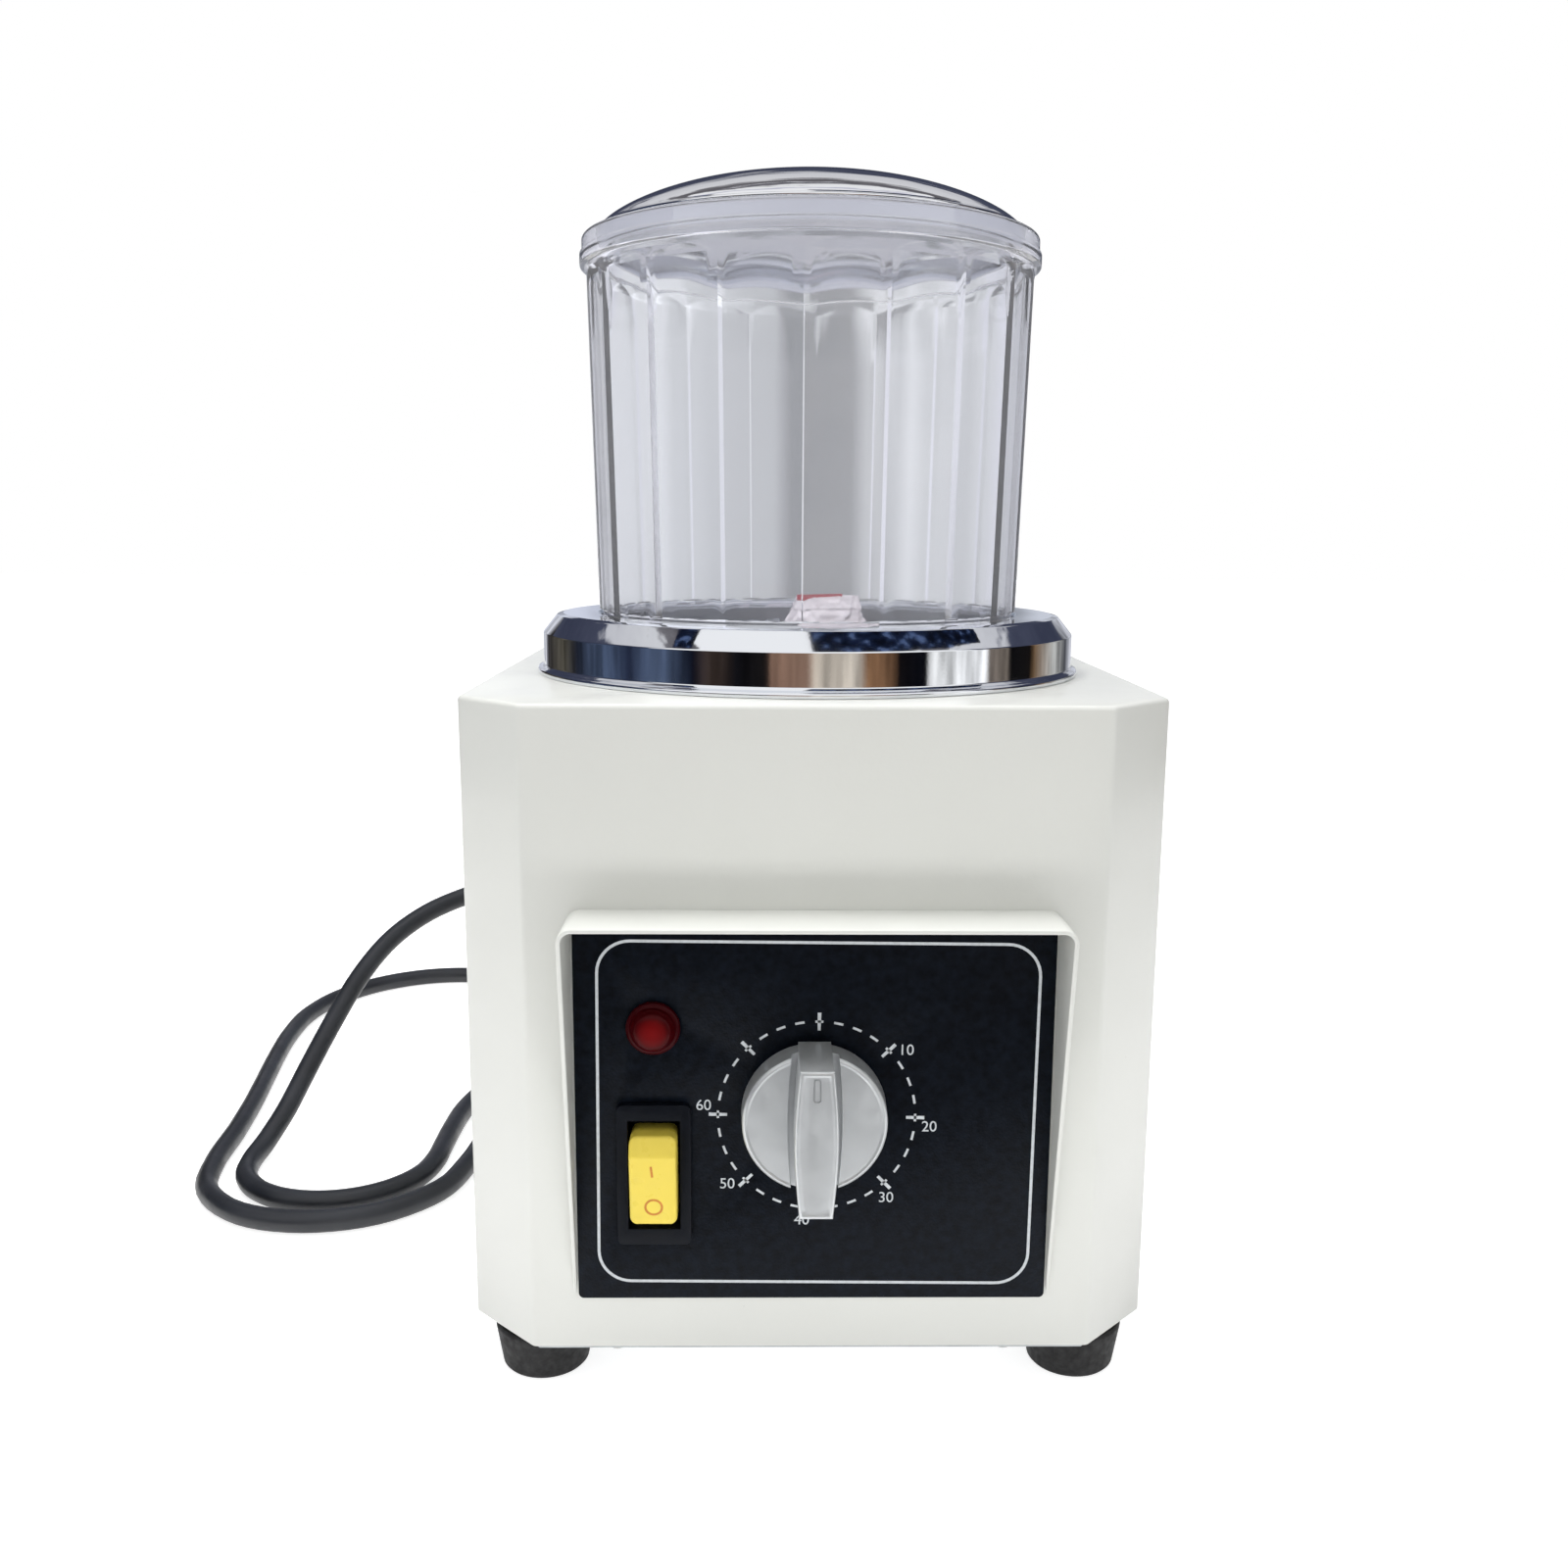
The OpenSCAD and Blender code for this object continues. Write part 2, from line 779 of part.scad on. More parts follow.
module rotor() {
  end_h = 5;
  color([0.55, 0.55, 0.57])
    at_spindle()
      difference() {
        union() {
          rod(rotor_r - rotor_gap, core_z, core_z + core_h);
          rod(rotor_r - 4, core_z - end_h, core_z + core_h + end_h);
        }
        rod(shaft_r, core_z - 2 * end_h, core_z + core_h + 2 * end_h);
      }
}

// Impeller under the motor
module cooling_fan() {
  color([0.15, 0.15, 0.16])
    at_spindle(fan_z)
      difference() {
        union() {
          cylinder(r = fan_d / 2, h = 1.5, $fn = 96);
          cylinder(r = fan_hub_r, h = fan_h);
          for (i = [0 : 7])
            rotate([0, 0, i * 45])
              translate([fan_hub_r - 1, -0.8, 0])
                cube([fan_d / 2 - fan_hub_r - 1, 1.6, fan_h - 1]);
        }
        rod(shaft_r, -over, fan_h + over);
      }
}

// ---- Motor ----

module bearing(z) {
  color([0.70, 0.71, 0.73])
    at_spindle(z)
      turned([
        [shaft_r + run, 0], [shaft_r + 2, 0], [shaft_r + 2.3, 0.5], [bearing_r - 2.3, 0.5],
        [bearing_r - 2, 0], [bearing_r, 0], [bearing_r, bearing_h], [bearing_r - 2, bearing_h],
        [bearing_r - 2.3, bearing_h - 0.5], [shaft_r + 2.3, bearing_h - 0.5], [shaft_r + 2, bearing_h],
        [shaft_r + run, bearing_h]
      ]);
}

module bearing_upper() bearing(bracket_z - bearing_up - bearing_h);
module bearing_lower() bearing(low_bell_z + bearing_up);

// Cast end bell with a bearing seat, its closed face at height 0
module end_bell() {
  pocket = bearing_up + bearing_h;
  difference() {
    union() {
      turned([
        [shaft_r + 1, 0], [motor_r, 0], [motor_r, bell_h], [motor_r - bell_wall, bell_h],
        [motor_r - bell_wall, bell_wall], [bearing_r + 3, bell_wall], [bearing_r + 3, pocket],
        [bearing_r, pocket], [bearing_r, bearing_up], [shaft_r + 1, bearing_up]
      ]);
      round_row(4, lug_at, 45)
        cylinder(r = lug_r, h = bell_h);
    }
    round_row(4, lug_at, 45)
      rod(bolt_r + 0.1, -over, bell_h + over);
    round_row(8, motor_r - 10, 22.5)
      rod(4, -over, bell_wall + over);
  }
}

module end_bell_upper() {
  color([0.62, 0.63, 0.64])
    at_spindle(bracket_z)
      mirror([0, 0, 1])
        end_bell();
}

module end_bell_lower() {
  color([0.62, 0.63, 0.64])
    at_spindle(low_bell_z)
      end_bell();
}

module stator_core() {
  color([0.35, 0.36, 0.38])
    at_spindle(core_z)
      difference() {
        union() {
          cylinder(r = motor_r, h = core_h, $fn = 120);
          round_row(4, lug_at, 45)
            cylinder(r = lug_r, h = core_h);
        }
        rod(rotor_r, -over, core_h + over);
        round_row(4, lug_at, 45)
          rod(bolt_r + 0.1, -over, core_h + over);
      }
}

// Copper end turns above and below the laminated core
module windings() {
  in_r = rotor_r + 1;
  out_r = motor_r - bell_wall - 1;
  color([0.72, 0.40, 0.20])
    at_spindle()
      for (z = [core_z - winding_h, core_z + core_h])
        translate([0, 0, z])
          turned([
            [in_r, 0.2], [in_r + 1, 0], [out_r - 1, 0], [out_r, 1],
            [out_r, winding_h - 1], [out_r - 1, winding_h], [in_r + 1, winding_h], [in_r, winding_h - 0.2]
          ]);
}

module motor_bolts() {
  color([0.70, 0.70, 0.70])
    at_spindle()
      round_row(4, lug_at, 45)
        screw_up(bolt_r, 3.6, 2.6, low_bell_z, bracket_z + bracket_t - low_bell_z + 4.5);
}

module motor_nuts() {
  color([0.70, 0.70, 0.70])
    at_spindle(bracket_z + bracket_t)
      round_row(4, lug_at, 45)
        nut(7, 3.2, bolt_r);
}

module motor_bracket() {
  color([0.60, 0.61, 0.62])
    at_spindle(bracket_z)
      difference() {
        linear_extrude(bracket_t)
          cut_rect(bracket_w, bracket_w, 14);
        rod(hub_r + 2, -over, bracket_t + over);
        round_row(4, lug_at, 45)
          rod(bolt_r + 0.1, -over, bracket_t + over);
        four(stud_at, stud_at)
          rod(stud_r + 0.1, -over, bracket_t + over);
      }
}

// Studs welded under the casing's top, which the bracket hangs from
module bracket_studs() {
  color([0.72, 0.72, 0.70])
    at_spindle()
      four(stud_at, stud_at)
        rod(stud_r, bracket_z - 7, top_z - sheet);
}

module bracket_spacers() {
  color([0.74, 0.74, 0.72])
    at_spindle()
      four(stud_at, stud_at)
        difference() {
          rod(spacer_r, bracket_z + bracket_t, top_z - sheet);
          rod(stud_r, bracket_z, top_z);
        }
}

module bracket_nuts() {
  color([0.70, 0.70, 0.70])
    at_spindle(bracket_z - 4)
      four(stud_at, stud_at)
        nut(8, 4, stud_r);
}

module run_capacitor() {
  color([0.88, 0.88, 0.86])
    translate([cap_x, spin_y + cap_y, body_z + 2])
      turned([
        [0, 0], [cap_r - 1, 0], [cap_r, 1], [cap_r, cap_h - 1], [cap_r - 1, cap_h], [6, cap_h],
        [6, cap_h + 2], [0, cap_h + 2]
      ]);
}

// Clip that holds the capacitor, riveted to the base plate
module capacitor_clip() {
  color([0.66, 0.67, 0.68])
    translate([cap_x, spin_y + cap_y, base_z + sheet]) {
      rod(cap_r, 0, 1.9);
      difference() {
        rod(cap_r + 1.1, 0, 22);
        rod(cap_r + 0.02, 0.9, 22 + over);
      }
      rod(0.8, -sheet - 0.6, 0.2);
    }
}

module terminal_block() {
  color([0.90, 0.88, 0.80])
    translate([-block_x, spin_y + block_y, base_z + sheet])
      difference() {
        translate([-9, -21, 0])
          cube([18, 42, 13]);
        for (i = [-1 : 1])
          translate([0, i * 13, 7])
            rotate([0, 90, 0])
              cylinder(r = 1.8, h = 20, center = true);
      }
}

// Wires from the cord to the terminal block, and on to the switch, the timer and the motor
module wiring() {
  wire_d = 2.4;
  z0 = base_z + sheet + 7;
  y0 = spin_y + block_y;
  right = -block_x + 4;
  left = -block_x - 5;
  past_fan = fan_d / 2 + 6;
  in_bell = motor_r - 6;
  runs = [
    [[right, y0 - 13, z0], [-54, y0 - 17, z0], [-60, spin_y, 23], [-58, front_y + 46, 28],
      [-48, front_y + 38, 44], [-rocker_x, front_y + 30, rocker_z - 14], [-rocker_x, front_y + 26, rocker_z - 11.6]],
    [[right, y0, z0], [-52, y0 - 6, 24], [-50, spin_y - 6, 28], [-38, front_y + 50, 36],
      [-20, front_y + 46, 60], [-9, front_y + timer_l + 5, timer_z - 6], [-9, front_y + timer_l + 4, timer_z - 1.6]],
    [[right, y0 + 13, z0], [-50, y0 + 13, 24], [-38, y0 + 4, 42],
      [-0.46 * past_fan, spin_y + 0.89 * past_fan, low_bell_z - 8],
      [-0.46 * in_bell, spin_y + 0.89 * in_bell, low_bell_z + 8]],
    [[-exit_x, back_y - 8, exit_z], [-52, back_y - 12, exit_z - 12], [-70, back_y - 20, 58],
      [-85, back_y - 36, 34], [-83, y0 + 4, z0 + 2], [left, y0, z0]]
  ];
  color([0.75, 0.15, 0.12])
    for (run_points = runs)
      tube(run_points, wire_d, 2, 8);
}

// ---- Control panel ----

module control_panel() {
  panel_w = hood_w - 2 * sheet - 1;
  low = hood_foot - 1.2;
  high = hood_top - sheet - 0.5;
  color([0.04, 0.05, 0.06])
    difference() {
      upright(0, front_y, body_z + (low + high) / 2)
        linear_extrude(panel_t)
          round_rect(panel_w, high - low, 1.5);
      upright(0, front_y + over, timer_z)
        cylinder(r = 5.1, h = panel_t + 2 * over);
      upright(-rocker_x, front_y + over, lamp_z)
        cylinder(r = lamp_hole_r + 0.1, h = panel_t + 2 * over);
      upright(-rocker_x, front_y + over, rocker_z)
        linear_extrude(panel_t + 2 * over)
          square([bezel_w - 2, bezel_h - 3], center = true);
    }
}

// Half width of the grip bar at a share of its length from the middle
function bar_half(s) = (bar_end_w + (bar_w - bar_end_w) * cos(90 * s)) / 2;

// Outline of the grip bar, slightly fuller in the middle
module bar_outline(grow) {
  l = knob_d / 2 + 0.4;
  n = 8;
  right = [for (i = [-n : n]) [bar_half(i / n) + grow, l * i / n]];
  left = [for (i = [n : -1 : -n]) [-bar_half(i / n) - grow, l * i / n]];
  polygon(concat(right, left));
}

module timer_knob() {
  r = knob_d / 2;
  top = knob_reach;
  color([0.72, 0.73, 0.74])
    upright(0, face_y, timer_z)
      difference() {
        union() {
          difference() {
            turned([
              [0, knob_gap], [r - 0.3, knob_gap], [r, knob_gap + 0.4], [r - 0.3, knob_gap + knob_disc_h - 0.6],
              [r - 1, knob_gap + knob_disc_h], [0, knob_gap + knob_disc_h]
            ]);
            translate([0, 0, knob_gap + knob_disc_h - 3.2])
              linear_extrude(4)
                bar_outline(bar_cut);
          }
          translate([0, 0, knob_gap + 1])
            linear_extrude(top - knob_gap - 1.6)
              bar_outline(0);
          translate([0, 0, top - 0.6])
            linear_extrude(0.6)
              bar_outline(-0.6);
        }
        rod(timer_stem_r, -over, 14);
      }
}

module timer_stem() {
  color([0.78, 0.78, 0.76])
    upright(0, face_y, timer_z)
      rod(timer_stem_r, -panel_t - 6, 14);
}

module timer_body() {
  color([0.86, 0.86, 0.82])
    upright(0, front_y, timer_z) {
      difference() {
        union() {
          translate([0, 0, -1.5])
            linear_extrude(1.5)
              round_rect(timer_w, timer_w, 3);
          translate([0, 0, -timer_l])
            linear_extrude(timer_l - 1.5)
              round_rect(timer_w - 4, timer_w - 4, 3);
          rod(5, -1.5, panel_t + 1);
        }
        rod(timer_stem_r + run, -7.5, panel_t + 2);
      }
      for (s = [-1, 1])
        translate([s * 9 - 3, -0.4, -timer_l - 7])
          cube([6, 0.8, 7]);
    }
}

// Thin nut that holds the timer to the panel, hidden under the knob
module timer_nut() {
  color([0.75, 0.75, 0.73])
    upright(0, face_y, timer_z)
      nut(13, 1.2, 5);
}

// Paddle of the rocker switch: its lower end is pressed in at rest
module rocker_paddle() {
  half = paddle_l / 2;
  color([0.93, 0.82, 0.25])
    translate([-rocker_x, face_y, rocker_z]) {
      translate([-paddle_w / 2, 0, 0])
        rotate([90, 0, 90])
          linear_extrude(paddle_w)
            polygon([
              [-paddle_top_out + 1, half], [-paddle_top_out, half - 1],
              [-paddle_ridge_out, paddle_ridge], [-paddle_foot_out, -half + 0.6],
              [-paddle_foot_out + 0.8, -half], [paddle_back - 2, -half + 1.2],
              [paddle_back, -half + 4], [paddle_back, half - 4], [paddle_back - 2, half - 1.2]
            ]);
      translate([0, pivot_in, 0])
        rotate([0, 90, 0])
          cylinder(r = pivot_r, h = paddle_w + 2, center = true);
    }
}

module rocker_housing() {
  back = panel_t + rocker_depth;
  color([0.05, 0.05, 0.06])
    difference() {
      upright(-rocker_x, face_y, rocker_z)
        union() {
          linear_extrude(bezel_h2)
            round_rect(bezel_w, bezel_h, 1.8);
          translate([0, 0, -back])
            linear_extrude(back)
              square([bezel_w - 2.4, bezel_h - 3.4], center = true);
        }
      upright(-rocker_x, face_y, rocker_z)
        translate([-rocker_open_w / 2, -rocker_open_l / 2, -14])
          cube([rocker_open_w, rocker_open_l, 14 + bezel_h2 + over]);
      translate([-rocker_x, face_y + pivot_in, rocker_z])
        rotate([0, 90, 0])
          cylinder(r = pivot_r + run, h = paddle_w + 2.6, center = true);
    }
}

// Blade terminals on the back of the rocker switch
module switch_tabs() {
  color([0.80, 0.70, 0.45])
    for (i = [-1 : 1])
      translate([-rocker_x - 2.4, face_y + panel_t + rocker_depth, rocker_z + i * 10 - 0.4])
        cube([4.8, 7, 0.8]);
}

module lamp_lens() {
  r = lamp_d / 2;
  color([0.55, 0.03, 0.04])
    upright(-rocker_x, face_y, lamp_z)
      turned([
        [0, 0], [r, 0], [r, 1.2], [r - 0.3, 1.9], [r - 1, 2.3], [r - 2.2, 3.7], [r - 3.8, 4.7],
        [r - 5.6, 5.3], [0, 5.5]
      ]);
}

module lamp_body() {
  color([0.85, 0.85, 0.83])
    upright(-rocker_x, face_y, lamp_z) {
      rod(lamp_hole_r, -lamp_l, 0);
      for (s = [-1, 1])
        translate([s * 3 - 1.4, -0.4, -lamp_l - 6])
          cube([2.8, 0.8, 6]);
    }
}

module lamp_nut() {
  color([0.80, 0.80, 0.80])
    upright(-rocker_x, front_y + 3, lamp_z)
      nut(16, 3, lamp_hole_r);
}

// ---- Mains cord ----

module strain_relief() {
  in_l = 8;
  color([0.05, 0.05, 0.05])
    translate([-exit_x, back_y, exit_z])
      rotate([-90, 0, 0])
        turned([
          [0, -in_l], [relief_r + 1.5, -in_l], [relief_r + 1.5, -sheet - 0.2], [relief_r - 0.2, -sheet],
          [relief_r - 0.2, 0], [relief_r + 1.8, 0], [relief_r + 1.8, 2.5], [relief_r, 4],
          [relief_tip_r, relief_l], [0, relief_l]
        ]);
}

module power_cord() {
  start = [[-exit_x, back_y + relief_l, exit_z]];
  middle = [for (p = cord_route) [p.x, p.y + back_y, p.z]];
  end = [[coil_x - coil_turn_r, coil_y, cord_r]];
  color([0.05, 0.05, 0.06])
    tube(concat(start, middle, end), cord_d, 1, cord_sides);
}

// Rest of the cord, wound in a flat coil
module cord_coil() {
  color([0.05, 0.05, 0.06])
    translate([coil_x, coil_y, 0])
      rotate_extrude($fn = 96)
        translate([coil_turn_r - cord_r, 0])
          square([cord_d, coil_h]);
}

// Band round the coil
module cord_tie() {
  band = 1.2;
  color([0.1, 0.1, 0.1])
    translate([coil_x, coil_y - coil_turn_r, 0])
      difference() {
        translate([-4, -cord_r - band, 0])
          cube([8, cord_d + 2 * band, coil_h + band]);
        translate([-4 - over, -cord_r, band])
          cube([8 + 2 * over, cord_d, coil_h - band]);
      }
}

// Moulded plug that lies on its side, its boot meeting the end of the coil
module plug_body() {
  half = plug_w / 2;
  color([0.05, 0.05, 0.05])
    translate([coil_x + coil_turn_r, plug_y, plug_z])
      rotate([90, 0, 0]) {
        cylinder(r1 = cord_r + 1.2, r2 = 8.5, h = boot_l);
        translate([0, 0, boot_l])
          linear_extrude(plug_l)
            round_rect(plug_w, 2 * plug_z, 6);
      }
}

// Two flat blades and a round earth pin
module plug_pins() {
  color([0.80, 0.78, 0.70])
    translate([coil_x + coil_turn_r, plug_y - boot_l - plug_l, plug_z]) {
      for (s = [-1, 1])
        translate([s * 6.35 - 0.75, -18, 1.8])
          cube([1.5, 21, 6.4]);
      translate([0, 3, -6.5])
        rotate([90, 0, 0])
          cylinder(r = 2.4, h = 23);
    }
}

casing();
hood();
base_plate();
base_screws();
foot_front_left();
foot_front_right();
foot_rear_left();
foot_rear_right();
foot_screws();
chrome_ring();
ring_screws();
deck_plate();
bowl();
pin_bag();
lid();
lid_seal();
magnet_disc();
magnets();
disc_hub();
disc_screws();
hub_set_screw();
motor_shaft();
rotor();
cooling_fan();
bearing_upper();
bearing_lower();
stator_core();
windings();
end_bell_upper();
end_bell_lower();
motor_bolts();
motor_nuts();
motor_bracket();
bracket_studs();
bracket_spacers();
bracket_nuts();
run_capacitor();
capacitor_clip();
terminal_block();
wiring();
control_panel();
timer_knob();
timer_stem();
timer_body();
timer_nut();
rocker_paddle();
rocker_housing();
switch_tabs();
lamp_lens();
lamp_body();
lamp_nut();
strain_relief();
power_cord();
cord_coil();
cord_tie();
plug_body();
plug_pins();
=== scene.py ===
# %% [markdown]
# # A magnetic tumbler
# A square steel casing holds a motor that spins a disc of magnets. A clear bowl stands over the disc
# in a chromed ring, and a domed lid closes it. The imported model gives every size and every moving
# body, so each piece here is made around those sizes, in metres.

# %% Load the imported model
import math
import bpy
import bmesh
from mathutils import Matrix, Vector
from mathutils import noise as wobble


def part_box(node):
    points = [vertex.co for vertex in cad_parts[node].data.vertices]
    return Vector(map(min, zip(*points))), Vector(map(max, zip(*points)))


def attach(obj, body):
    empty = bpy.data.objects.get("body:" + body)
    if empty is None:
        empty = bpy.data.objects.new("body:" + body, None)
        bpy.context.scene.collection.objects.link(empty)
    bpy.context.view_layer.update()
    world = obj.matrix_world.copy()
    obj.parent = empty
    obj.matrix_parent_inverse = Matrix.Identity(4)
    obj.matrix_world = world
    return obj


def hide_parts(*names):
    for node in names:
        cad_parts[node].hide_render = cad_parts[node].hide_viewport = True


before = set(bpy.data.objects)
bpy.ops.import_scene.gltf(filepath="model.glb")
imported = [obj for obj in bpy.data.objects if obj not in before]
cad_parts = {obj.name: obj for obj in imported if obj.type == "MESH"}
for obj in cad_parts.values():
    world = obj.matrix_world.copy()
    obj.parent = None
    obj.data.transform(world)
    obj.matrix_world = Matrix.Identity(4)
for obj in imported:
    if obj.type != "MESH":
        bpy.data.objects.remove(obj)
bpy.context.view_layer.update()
MM = 0.001
scene = bpy.context.scene
print("nodes:", len(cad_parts))

# %% [markdown]
# ## Where things are
# A few of them set the planes and the axes that the rest of the lesson measures from.

# %% Planes and axes
def box(node):
    low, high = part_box(node)
    return Vector(low), Vector(high)


CASE_LOW, CASE_HIGH = box("casing")
FRONT = CASE_LOW.y
BACK = CASE_HIGH.y
SPIN = Vector((0.0, (FRONT + BACK) / 2, 0.0))
FACE = box("control_panel")[0].y
TOP = CASE_HIGH.z
print("front", round(FRONT, 4), "back", round(BACK, 4), "top", round(TOP, 4))

# %% [markdown]
# ## The camera
# The machine is seen from close by, a little above its middle, so its upright edges lean together. A
# camera is a matrix of three directions and a place. Writing the directions down is clearer than three
# angles, because a small roll and a small turn are easy to see in them.

# %% Camera
def aim_camera(eye, turn, dip, roll, lens):
    ahead = Vector((math.sin(turn), math.cos(turn), 0.0)) * math.cos(dip)
    ahead.z = -math.sin(dip)
    right = Vector((math.cos(turn), -math.sin(turn), 0.0))
    up = right.cross(ahead)
    tilted = right * math.cos(roll) + up * math.sin(roll)
    up = tilted.cross(ahead)
    data = bpy.data.cameras.new("studio_camera")
    data.lens = lens
    data.sensor_width = 36.0
    data.clip_start = 0.01
    camera = bpy.data.objects.new("studio_camera", data)
    camera.matrix_world = Matrix((
        (tilted.x, up.x, -ahead.x, eye[0]),
        (tilted.y, up.y, -ahead.y, eye[1]),
        (tilted.z, up.z, -ahead.z, eye[2]),
        (0, 0, 0, 1),
    ))
    scene.collection.objects.link(camera)
    scene.camera = camera
    return camera


camera = aim_camera(eye=(-0.01427, FRONT - 0.378445, 0.24376), turn=0.015, dip=0.177, roll=0.006, lens=33.61)
print("camera at", [round(v, 3) for v in camera.matrix_world.translation])

# %% [markdown]
# ## Pieces
# Every piece is a mesh object that rides on one of the bodies, and most of them stand for a plain CAD
# node. One helper keeps that bookkeeping in one place.

# %% Making a piece
def piece(name, mesh, body, material, stands_for=(), sharp=30):
    obj = bpy.data.objects.new(name, mesh)
    scene.collection.objects.link(obj)
    if material is not None:
        mesh.materials.clear()
        mesh.materials.append(material)
    if sharp is not None:
        for polygon in mesh.polygons:
            polygon.use_smooth = True
        mesh.set_sharp_from_angle(angle=math.radians(sharp))
    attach(obj, body)
    if stands_for:
        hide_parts(*stands_for)
    return obj


def mesh_of(name, points, faces):
    mesh = bpy.data.meshes.new(name)
    mesh.from_pydata([tuple(p) for p in points], [], faces)
    mesh.validate()
    mesh.update()
    return mesh


print("helpers ready")

# %% [markdown]
# ## Finishes
# Every surface is painted, plated or moulded, and each has small flaws that the eye reads as real:
# roughness that wanders, a fine texture, specks. A finish is a small node tree on a Principled shader.
# The helpers below add one such flaw each, so a finish can be put together in a few lines.

# %% Colours and the bare shader
def tone(r, g, b):
    """A colour given as it looks on a screen, 0 to 255."""
    def linear(c):
        c = c / 255
        return c / 12.92 if c <= 0.04045 else ((c + 0.055) / 1.055) ** 2.4
    return (linear(r), linear(g), linear(b), 1.0)


class Finish:
    """A Principled shader with small flaws added one at a time."""

    def __init__(self, name, colour, rough=0.5, metal=0.0):
        self.material = bpy.data.materials.new(name)
        self.material.use_nodes = True
        self.tree = self.material.node_tree
        self.shader = self.tree.nodes["Principled BSDF"]
        self.colour = colour
        self.rough = rough
        self.set("Base Color", colour)
        self.set("Roughness", rough)
        self.set("Metallic", metal)
        self.material.diffuse_color = colour
        self.height = None

    def node(self, kind, **settings):
        node = self.tree.nodes.new(kind)
        for key, value in settings.items():
            setattr(node, key, value)
        return node

    def link(self, a, b):
        self.tree.links.new(a, b)

    def set(self, socket, value):
        self.shader.inputs[socket].default_value = value
        return self

    def place(self, stretch=(1, 1, 1)):
        coordinates = self.node("ShaderNodeTexCoord")
        mapping = self.node("ShaderNodeMapping")
        mapping.inputs["Scale"].default_value = stretch
        self.link(coordinates.outputs["Object"], mapping.inputs["Vector"])
        return mapping.outputs["Vector"]

    def noise(self, scale, stretch=(1, 1, 1), detail=3.0):
        noise = self.node("ShaderNodeTexNoise")
        noise.inputs["Scale"].default_value = scale
        noise.inputs["Detail"].default_value = detail
        self.link(self.place(stretch), noise.inputs["Vector"])
        return noise.outputs["Fac"]

    def spread(self, source, low, high, clamp=True):
        change = self.node("ShaderNodeMapRange", clamp=clamp)
        change.inputs["From Min"].default_value = 0.3
        change.inputs["From Max"].default_value = 0.7
        change.inputs["To Min"].default_value = low
        change.inputs["To Max"].default_value = high
        self.link(source, change.inputs["Value"])
        return change.outputs["Result"]

    def cloudy(self, scale, darker, lighter, stretch=(1, 1, 1)):
        """Lets the colour wander between a darker and a lighter shade of itself."""
        mix = self.node("ShaderNodeMix", data_type="RGBA")
        mix.inputs["A"].default_value = [c * darker for c in self.colour[:3]] + [1]
        mix.inputs["B"].default_value = [min(1, c * lighter) for c in self.colour[:3]] + [1]
        self.link(self.spread(self.noise(scale, stretch), 0, 1), mix.inputs["Factor"])
        self.link(mix.outputs["Result"], self.shader.inputs["Base Color"])
        return self

    def uneven(self, scale, low, high, stretch=(1, 1, 1)):
        """Lets the roughness wander."""
        self.link(self.spread(self.noise(scale, stretch), low, high), self.shader.inputs["Roughness"])
        return self

    def textured(self, scale, depth, strength=1.0, stretch=(1, 1, 1), detail=3.0):
        """Adds a fine relief; depth is in metres."""
        bump = self.node("ShaderNodeBump")
        bump.inputs["Strength"].default_value = strength
        bump.inputs["Distance"].default_value = depth
        self.link(self.noise(scale, stretch, detail), bump.inputs["Height"])
        if self.height is not None:
            self.link(self.height, bump.inputs["Normal"])
        self.height = bump.outputs["Normal"]
        self.link(self.height, self.shader.inputs["Normal"])
        return self

    def specked(self, scale, size, colour, amount=1.0):
        """Scatters small specks of another colour."""
        cells = self.node("ShaderNodeTexVoronoi")
        cells.inputs["Scale"].default_value = scale
        self.link(self.place(), cells.inputs["Vector"])
        near = self.node("ShaderNodeMath", operation="LESS_THAN")
        near.inputs[1].default_value = size
        self.link(cells.outputs["Distance"], near.inputs[0])
        some = self.node("ShaderNodeMath", operation="MULTIPLY")
        some.inputs[1].default_value = amount
        self.link(near.outputs[0], some.inputs[0])
        mix = self.node("ShaderNodeMix", data_type="RGBA")
        base = self.shader.inputs["Base Color"]
        if base.is_linked:
            self.link(base.links[0].from_socket, mix.inputs["A"])
        else:
            mix.inputs["A"].default_value = self.colour
        mix.inputs["B"].default_value = colour
        self.link(some.outputs[0], mix.inputs["Factor"])
        self.link(mix.outputs["Result"], base)
        return self


print("a white of 226, 227, 222 reads as", [round(c, 3) for c in tone(226, 227, 222)[:3]])

# %% [markdown]
# ## Outlines
# Sheet metal, turned rings and moulded plastic all have small rounds on their edges. They catch the
# light as a thin bright line, and an edge without one looks like paper. So outlines are drawn with a
# radius on each corner first, and are then turned, pushed or stacked into solids.

# %% Rounding the corners of an outline
def eased(corners, steps=4, closed=True):
    """corners are (x, y, radius); returns the outline's points with each corner rounded."""
    points = []
    count = len(corners)
    for i, (x, y, radius) in enumerate(corners):
        here = Vector((x, y))
        if radius <= 0 or (not closed and i in (0, count - 1)):
            points.append(here)
            continue
        before = Vector(corners[i - 1][:2]) - here
        after = Vector(corners[(i + 1) % count][:2]) - here
        if before.length < 1e-9 or after.length < 1e-9:
            points.append(here)
            continue
        a, b = before.normalized(), after.normalized()
        half = max(1e-3, a.angle(b) / 2)
        reach = min(radius / math.tan(half), before.length * 0.49, after.length * 0.49)
        radius = reach * math.tan(half)
        if half > 1.55:
            points.append(here)
            continue
        middle = here + (a + b).normalized() * (radius / math.sin(half))
        start, end = here + a * reach - middle, here + b * reach - middle
        sweep = start.angle_signed(end)
        for k in range(steps + 1):
            points.append(middle + Matrix.Rotation(-sweep * k / steps, 2) @ start)
    return points


